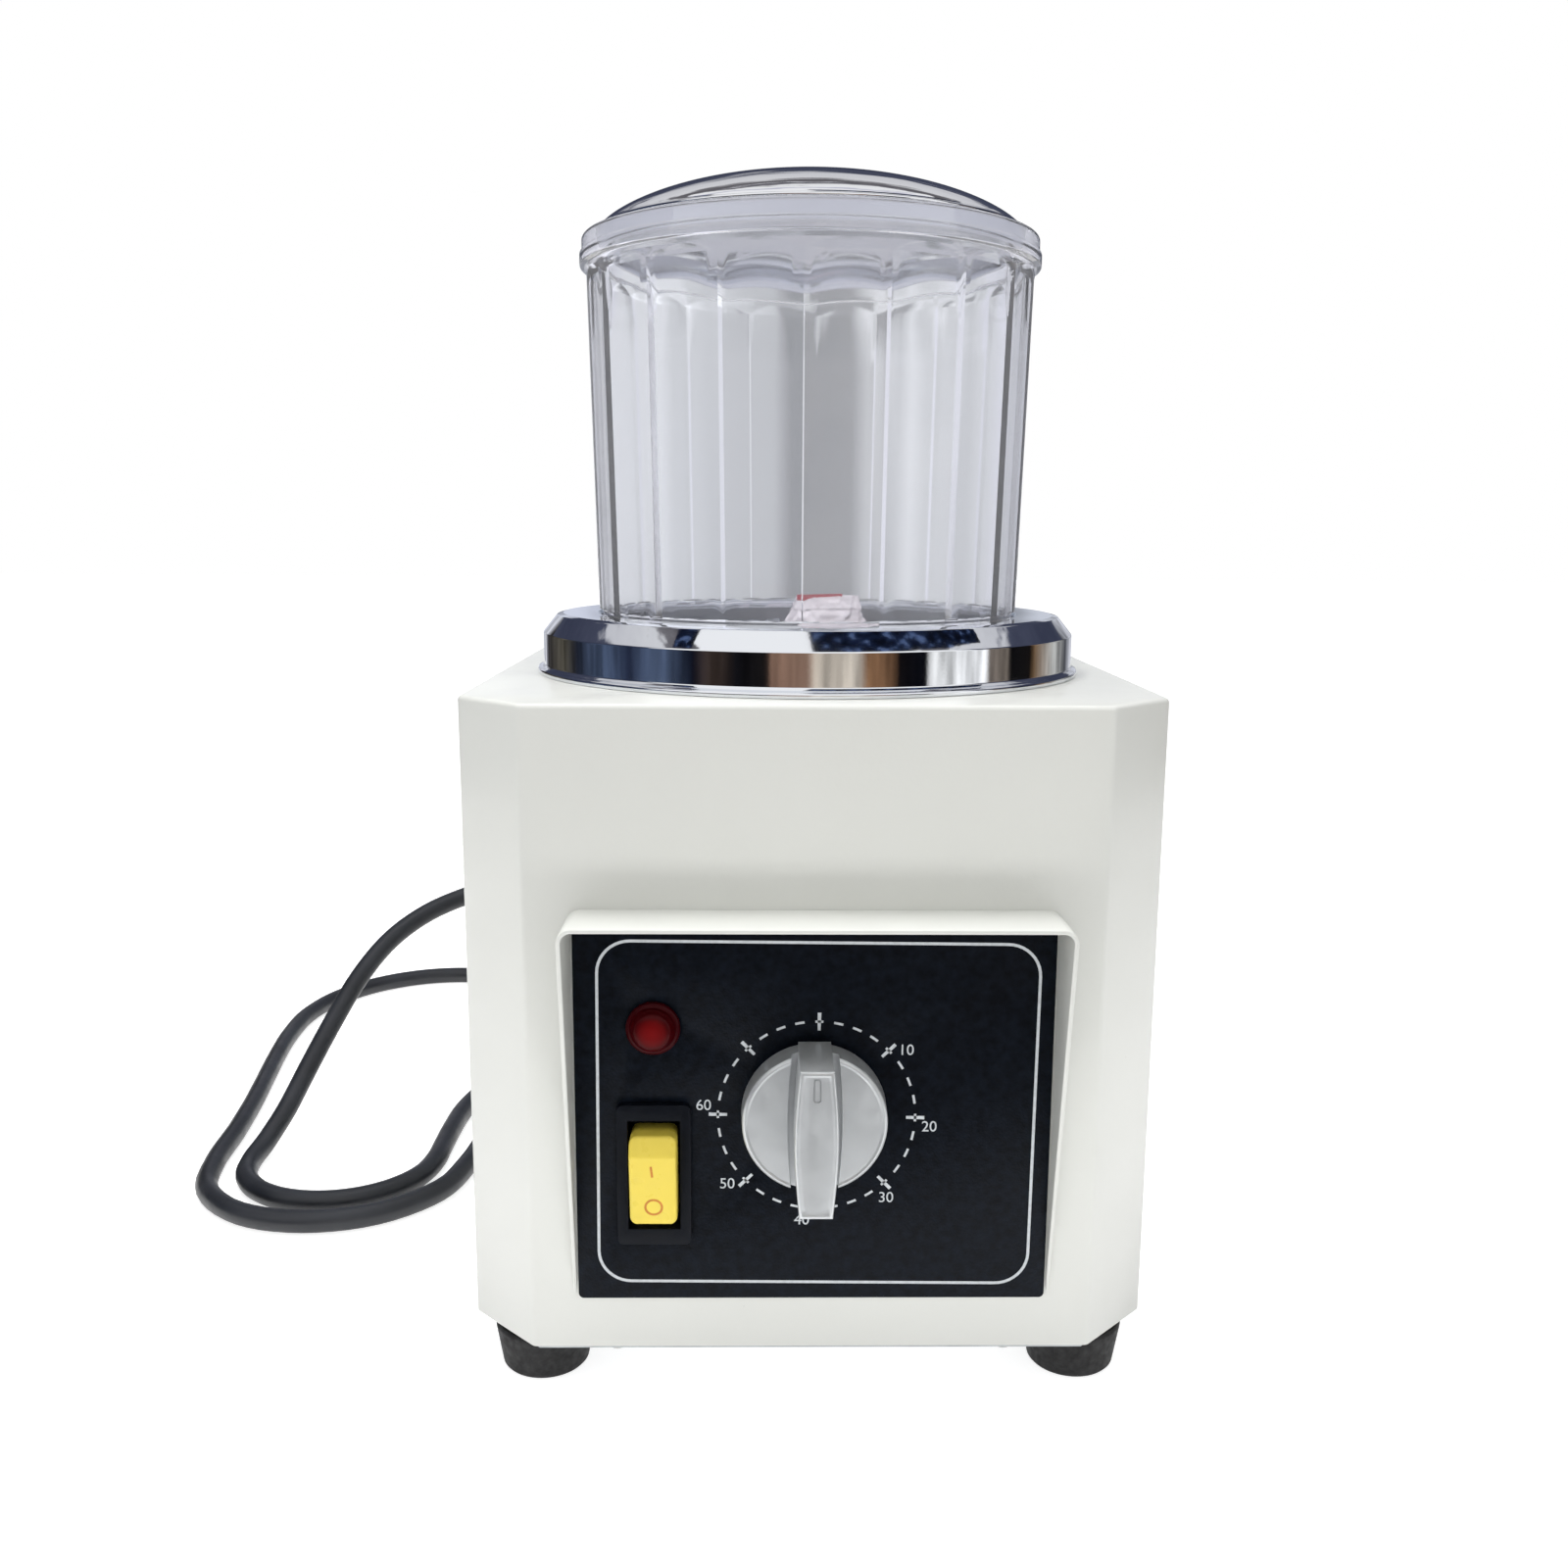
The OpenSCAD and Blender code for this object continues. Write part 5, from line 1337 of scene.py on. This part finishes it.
for node, name, body, finish, width in inner_pieces:
    softened(node, name, body, finish.material, width, 2)
for node, finish in (("windings", copper), ("wiring", wire_sleeve)):
    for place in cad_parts[node].material_slots:
        place.material = finish.material
print(len(inner_pieces), "inner pieces")

# %% [markdown]
# ## The studio
# The light is a white tent: everything far away is white, so white paint stays clean and the floor
# fades into the background. Chrome and glass would then be blank. A real room is full of dark and
# coloured things, so a ring of cards stands round the machine. Only shiny and clear surfaces see it:
# it throws no shadow and the camera never sees it.

# %% A curved card round the machine
def curved_card(name, start, end, distance, z0, z1, material, steps=72):
    """An upright wall on a circle; azimuth 0 is straight in front of the machine, 90 is on its right."""
    points = []
    for k in range(steps + 1):
        a = math.radians(start + (end - start) * k / steps)
        place = SPIN + Vector((math.sin(a), -math.cos(a), 0)) * distance
        points += [place + Vector((0, 0, z0)), place + Vector((0, 0, z1))]
    faces = [[2 * k, 2 * k + 2, 2 * k + 3, 2 * k + 1] for k in range(steps)]
    return staged(bpy.data.objects.new(name, mesh_of(name, points, faces)), material)


def staged(obj, material, glossy=True, clear=False):
    """Puts a card on the stage, for shiny surfaces to reflect or for clear ones to show."""
    obj.data.materials.append(material)
    scene.collection.objects.link(obj)
    obj.visible_camera = False
    obj.visible_diffuse = False
    obj.visible_shadow = False
    obj.visible_volume_scatter = False
    obj.visible_glossy = glossy
    obj.visible_transmission = clear
    return obj


def glowing(name):
    """A material that only shines; returns it with its tree and its emission node."""
    material = bpy.data.materials.new(name)
    material.use_nodes = True
    tree = material.node_tree
    tree.nodes.clear()
    shine = tree.nodes.new("ShaderNodeEmission")
    output = tree.nodes.new("ShaderNodeOutputMaterial")
    tree.links.new(shine.outputs["Emission"], output.inputs["Surface"])
    return material, tree, shine


def wire_math(tree, operation, a, b=None, value=None):
    node = tree.nodes.new("ShaderNodeMath")
    node.operation = operation
    tree.links.new(a, node.inputs[0])
    if b is not None:
        tree.links.new(b, node.inputs[1])
    if value is not None:
        node.inputs[1].default_value = value
    return node.outputs[0]


def colour_ramp(tree, source, stops):
    ramp = tree.nodes.new("ShaderNodeValToRGB")
    elements = ramp.color_ramp.elements
    elements[0].position, elements[0].color = stops[0]
    elements[1].position, elements[1].color = stops[-1]
    for position, colour in stops[1:-1]:
        elements.new(position).color = colour
    tree.links.new(source, ramp.inputs["Fac"])
    return ramp.outputs["Color"]


def object_place(tree):
    return tree.nodes.new("ShaderNodeTexCoord").outputs["Object"]


def place_along(tree, place, axis):
    parts = tree.nodes.new("ShaderNodeSeparateXYZ")
    tree.links.new(place, parts.inputs[0])
    return parts.outputs[axis]


def mottled(tree, place, scale, detail):
    """A noise that breaks up a plain card."""
    noise = tree.nodes.new("ShaderNodeTexNoise")
    noise.inputs["Scale"].default_value = scale
    noise.inputs["Detail"].default_value = detail
    tree.links.new(place, noise.inputs["Vector"])
    return noise.outputs["Fac"]


def rippled(tree, share, noise, amount):
    """Bends a ramp's share by a noise, so that its bands have uneven edges."""
    ripple = wire_math(tree, "MULTIPLY", wire_math(tree, "SUBTRACT", noise, value=0.5), value=amount)
    return wire_math(tree, "ADD", share, ripple)


print("card helpers ready")

# %% [markdown]
# The front wall of cards is what the ring's upright wall reflects. Its colour depends only on the
# direction from the spindle, so one colour ramp along the azimuth holds the whole room: slate, browns
# and navy, a beige patch straight ahead and one white window on the right. A noise darkens and
# lightens it in patches.

# %% The room in front
def azimuth_share(tree, place):
    """0 at azimuth -180, a half straight in front and 1 at azimuth 180."""
    depth = wire_math(tree, "SUBTRACT", place_along(tree, place, "Y"), value=SPIN.y)
    depth = wire_math(tree, "MULTIPLY", depth, value=-1)
    angle = wire_math(tree, "ARCTAN2", place_along(tree, place, "X"), depth)
    share = wire_math(tree, "MULTIPLY", angle, value=1 / (2 * math.pi))
    return wire_math(tree, "ADD", share, value=0.5)


room = [
    (-180, (138, 146, 160)), (-168, (190, 194, 208)), (-154, (214, 216, 224)), (-147, (52, 50, 52)),
    (-124, (86, 82, 72)), (-112, (34, 38, 50)), (-92, (80, 94, 120)), (-78, (30, 36, 54)),
    (-64, (84, 98, 124)), (-48, (16, 20, 34)), (-39, (72, 60, 54)), (-30, (16, 16, 20)),
    (-17, (22, 20, 20)), (-15, (150, 118, 100)), (-1, (140, 112, 96)), (2, (206, 194, 178)),
    (19, (200, 190, 176)), (22, (150, 112, 82)), (32, (116, 86, 64)), (35, (16, 14, 16)),
    (47, (10, 12, 20)), (48.5, (244, 244, 242)), (75, (250, 250, 250)), (77, (120, 110, 102)),
    (87, (124, 114, 104)), (89, (14, 14, 16)), (103, (18, 16, 16)), (106, (134, 106, 78)),
    (124, (190, 190, 186)), (140, (70, 72, 78)), (152, (206, 208, 216)), (180, (138, 146, 160)),
]
material, tree, shine = glowing("room_cards")
place = object_place(tree)
colour = colour_ramp(tree, azimuth_share(tree, place),
                     [((azimuth + 180) / 360, tone(*rgb)) for azimuth, rgb in room])
spread = tree.nodes.new("ShaderNodeMapRange")
for socket, value in (("From Min", 0.35), ("From Max", 0.65), ("To Min", 0.55), ("To Max", 1.35)):
    spread.inputs[socket].default_value = value
tree.links.new(mottled(tree, place, 9, 6), spread.inputs["Value"])
tree.links.new(colour, shine.inputs["Color"])
tree.links.new(spread.outputs["Result"], shine.inputs["Strength"])
curved_card("room_front", -180, 180, 1.3, -0.1, 0.5, material)
print(len(room), "stops round the room")

# %% [markdown]
# The ring's bevel and the lid look higher up. The bevel sees two dark panels overhead. The lid sees
# the upper part of the wall behind the machine, where a slate band ends in bright windows, and a
# ceiling of white, lavender and grey bands.

# %% Overhead panels, the wall behind and the ceiling
def overhead(name, places, width, z, material):
    """A flat strip that follows a line of places."""
    points = []
    for k, (x, y) in enumerate(places):
        a = Vector(places[max(k - 1, 0)])
        b = Vector(places[min(k + 1, len(places) - 1)])
        side = (b - a).normalized().orthogonal() * width / 2
        points += [(x + side.x, y + side.y, z), (x - side.x, y - side.y, z)]
    faces = [[2 * k, 2 * k + 1, 2 * k + 3, 2 * k + 2] for k in range(len(places) - 1)]
    return staged(bpy.data.objects.new(name, mesh_of(name, points, faces)), material)


PANEL_Z, CEILING_Z = 1.2, 2.2
material, tree, shine = glowing("navy_panel")
blues = [(0.4, tone(10, 14, 26)), (0.55, tone(22, 32, 56)), (0.64, tone(84, 102, 140))]
tree.links.new(colour_ramp(tree, mottled(tree, object_place(tree), 14, 8), blues), shine.inputs["Color"])
arc = [(0.0, -0.34), (0.21, -0.31), (0.46, -0.2), (0.7, -0.01), (0.9, 0.26)]
overhead("navy_strip", arc, 0.36, PANEL_Z, material)
overhead("navy_patch", [(-0.7, -0.02), (-0.58, -0.12)], 0.3, PANEL_Z, material)

material, tree, shine = glowing("wall_behind")
place = object_place(tree)
shift = tree.nodes.new("ShaderNodeMapping")
shift.inputs["Scale"].default_value = (1, 1, 2.6)
tree.links.new(place, shift.inputs["Vector"])
upward = wire_math(tree, "MULTIPLY", place_along(tree, place, "Z"), value=1 / CEILING_Z)
upward = rippled(tree, upward, mottled(tree, shift.outputs["Vector"], 3.2, 5), 0.35)
bands = [
    (0.0, tone(84, 88, 104)), (0.3, tone(58, 62, 80)), (0.5, tone(72, 76, 94)), (0.55, tone(206, 206, 210)),
    (0.78, tone(222, 222, 224)), (0.84, tone(116, 114, 118)), (1.0, tone(96, 94, 98)),
]
tree.links.new(colour_ramp(tree, upward, bands), shine.inputs["Color"])
curved_card("wall_behind", 70, 290, 1.3, 0.5, CEILING_Z, material)

material, tree, shine = glowing("ceiling")
place = object_place(tree)
backward = wire_math(tree, "MULTIPLY", place_along(tree, place, "Y"), value=1 / 1.4)
backward = rippled(tree, backward, mottled(tree, place, 2.4, 4), 0.9)
bands = [
    (0.0, tone(250, 250, 250)), (0.1, tone(250, 250, 250)), (0.16, tone(190, 190, 208)),
    (0.3, tone(204, 204, 218)), (0.34, tone(250, 250, 250)), (0.62, tone(246, 246, 246)),
    (0.68, tone(120, 118, 124)), (0.84, tone(92, 92, 98)), (0.9, tone(214, 214, 218)),
    (1.0, tone(120, 118, 122)),
]
tree.links.new(colour_ramp(tree, backward, bands), shine.inputs["Color"])
overhead("ceiling", [(0.0, -0.1), (0.0, 0.6), (0.0, 1.35)], 2.6, CEILING_Z, material)
print("overhead and back cards placed")

# %% [markdown]
# Clear plastic shows what is behind it. A pale grey wall all round and a pale grey disc on the table,
# both seen only through clear surfaces, give the bowl a body and let every flat of it bend a slightly
# different grey. The dark strip of table is the opposite: only shiny surfaces see it.

# %% The wall seen through the bowl
greys = [
    (-180, 202), (-176.8, 210), (-176.6, 220), (-173.5, 226), (-173.2, 248), (-168, 252), (-163, 250),
    (-150, 250), (-120, 226), (-60, 234), (0, 222), (60, 232), (120, 222), (150, 250), (166, 252),
    (168.5, 236), (170.8, 212), (171, 224), (172.2, 216), (172.4, 252), (172.9, 252), (173.2, 218),
    (174.4, 210), (174.6, 148), (178.8, 140), (179, 203), (180, 202),
]


def grey(azimuth, level):
    """A grey that is nearly neutral straight behind the machine and a little lavender elsewhere."""
    if abs(azimuth) > 166:
        return tone(level - 2, level, level + 2)
    return tone(level - 8, level - 7, level + 2)


material, tree, shine = glowing("grey_wall")
place = object_place(tree)
stops = [((azimuth + 180) / 360, grey(azimuth, level)) for azimuth, level in greys]
tree.links.new(colour_ramp(tree, azimuth_share(tree, place), stops), shine.inputs["Color"])
black, half_lit, white = (0, 0, 0, 1), tone(150, 150, 150), (1, 1, 1, 1)
window_side = colour_ramp(tree, azimuth_share(tree, place), [
    (0, half_lit), (0.03, white), (0.3, white), (0.5, black), (0.97, black), (1, half_lit)])
high_up = colour_ramp(tree, place_along(tree, place, "Z"), [(0.5, black), (0.58, white)])
lifted = wire_math(tree, "MULTIPLY", wire_math(tree, "MULTIPLY", window_side, high_up), value=0.5)
tree.links.new(wire_math(tree, "ADD", lifted, value=1.0), shine.inputs["Strength"])
wall = curved_card("grey_wall", -180, 180, 1.25, -0.05, 1.4, material, 96)
wall.visible_glossy = False
wall.visible_transmission = True

material, tree, shine = glowing("grey_floor")
shine.inputs["Color"].default_value = tone(204, 203, 208)
disc_r, disc_z, disc_steps = 1.24, 0.0008, 48
rim = [math.radians(7.5 * k) for k in range(disc_steps)]
grey_floor = mesh_of("grey_floor", [(disc_r * math.cos(a), disc_r * math.sin(a), disc_z) for a in rim],
                     [list(range(disc_steps))])
staged(bpy.data.objects.new("grey_floor", grey_floor), material, glossy=False, clear=True)

material, tree, shine = glowing("dark_table")
shine.inputs["Color"].default_value = tone(34, 40, 48)
table_x, table_z, far_edge, near_edge = 0.9, 0.002, FRONT - 1.1, FRONT - 0.16
points = [(-table_x, far_edge, table_z), (table_x, far_edge, table_z),
          (table_x, near_edge, table_z), (-table_x, near_edge, table_z)]
staged(bpy.data.objects.new("dark_table", mesh_of("dark_table", points, [[0, 1, 2, 3]])), material)
print(len(greys), "greys round the bowl")

# %% [markdown]
# The tent itself is the world. Light Path tells which rays the camera, glossy surfaces and glass send
# out: they see plain white, and the light that falls on the machine is set apart from it.

# %% World
world = bpy.data.worlds.new("tent")
scene.world = world
world.use_nodes = True
tree = world.node_tree
tree.nodes.clear()
path = tree.nodes.new("ShaderNodeLightPath")
seen = wire_math(tree, "MAXIMUM", path.outputs["Is Camera Ray"], path.outputs["Is Transmission Ray"])
seen = wire_math(tree, "MAXIMUM", seen, path.outputs["Is Glossy Ray"])
LIGHT_CAST, LIGHT_SEEN = 0.55, 1.0
strength = tree.nodes.new("ShaderNodeMapRange")
strength.inputs["To Min"].default_value = LIGHT_CAST
strength.inputs["To Max"].default_value = LIGHT_SEEN
tree.links.new(seen, strength.inputs["Value"])
background = tree.nodes.new("ShaderNodeBackground")
background.inputs["Color"].default_value = (1, 1, 1, 1)
tree.links.new(strength.outputs["Result"], background.inputs["Strength"])
output = tree.nodes.new("ShaderNodeOutputWorld")
tree.links.new(background.outputs["Background"], output.inputs["Surface"])
print("world ready")

# %% The floor and the lamps
FLOOR_GLOW, FLOOR_LIFT = 0.8, 0.16
FLOOR_PAPER = (0.62, 0.62, 0.62, 1)


def floor_material():
    """Matt white paper that also glows for the camera, so that only the shadow shows on it."""
    material, tree, glow = glowing("floor_paper")
    paper = tree.nodes.new("ShaderNodeBsdfDiffuse")
    paper.inputs["Color"].default_value = FLOOR_PAPER
    path = tree.nodes.new("ShaderNodeLightPath")
    seen = wire_math(tree, "MAXIMUM", path.outputs["Is Camera Ray"], path.outputs["Is Glossy Ray"])
    level = wire_math(tree, "MULTIPLY", seen, value=FLOOR_GLOW - FLOOR_LIFT)
    tree.links.new(wire_math(tree, "ADD", level, value=FLOOR_LIFT), glow.inputs["Strength"])
    add = tree.nodes.new("ShaderNodeAddShader")
    output = [node for node in tree.nodes if node.type == "OUTPUT_MATERIAL"][0]
    tree.links.new(paper.outputs[0], add.inputs[0])
    tree.links.new(glow.outputs[0], add.inputs[1])
    tree.links.new(add.outputs[0], output.inputs["Surface"])
    return material


corners = [(-6, -6, 0), (6, -6, 0), (6, 6, 0), (-6, 6, 0)]
floor = bpy.data.objects.new("floor", mesh_of("floor", corners, [[0, 1, 2, 3]]))
floor.data.materials.append(floor_material())
scene.collection.objects.link(floor)


def lamp(name, place, aim, size, power):
    """An area lamp that lights surfaces but is never seen, mirrored or looked at through plastic."""
    data = bpy.data.lights.new(name, "AREA")
    data.shape = "RECTANGLE"
    data.size, data.size_y = size
    data.energy = power
    obj = bpy.data.objects.new(name, data)
    obj.location = place
    obj.rotation_euler = (Vector(aim) - Vector(place)).to_track_quat("-Z", "Y").to_euler()
    obj.visible_camera = False
    obj.visible_glossy = False
    obj.visible_transmission = False
    scene.collection.objects.link(obj)
    return obj


lamp("key_light", (-1.3, -0.7, 0.9), (0, 0, 0.12), (0.9, 0.9), 1.6)
lamp("fill_light", (0.9, -1.1, 0.3), (0, 0, 0.08), (0.8, 0.8), 0.5)
lamp("top_light", (-0.15, 0.05, 1.4), (0, 0, 0.15), (0.8, 0.8), 17)
lamp("low_light", (0.0, FRONT - 0.22, 0.015), (0, FRONT, 0.03), (0.5, 0.08), 0.32)
scene.view_settings.view_transform = "Standard"
print("studio ready")
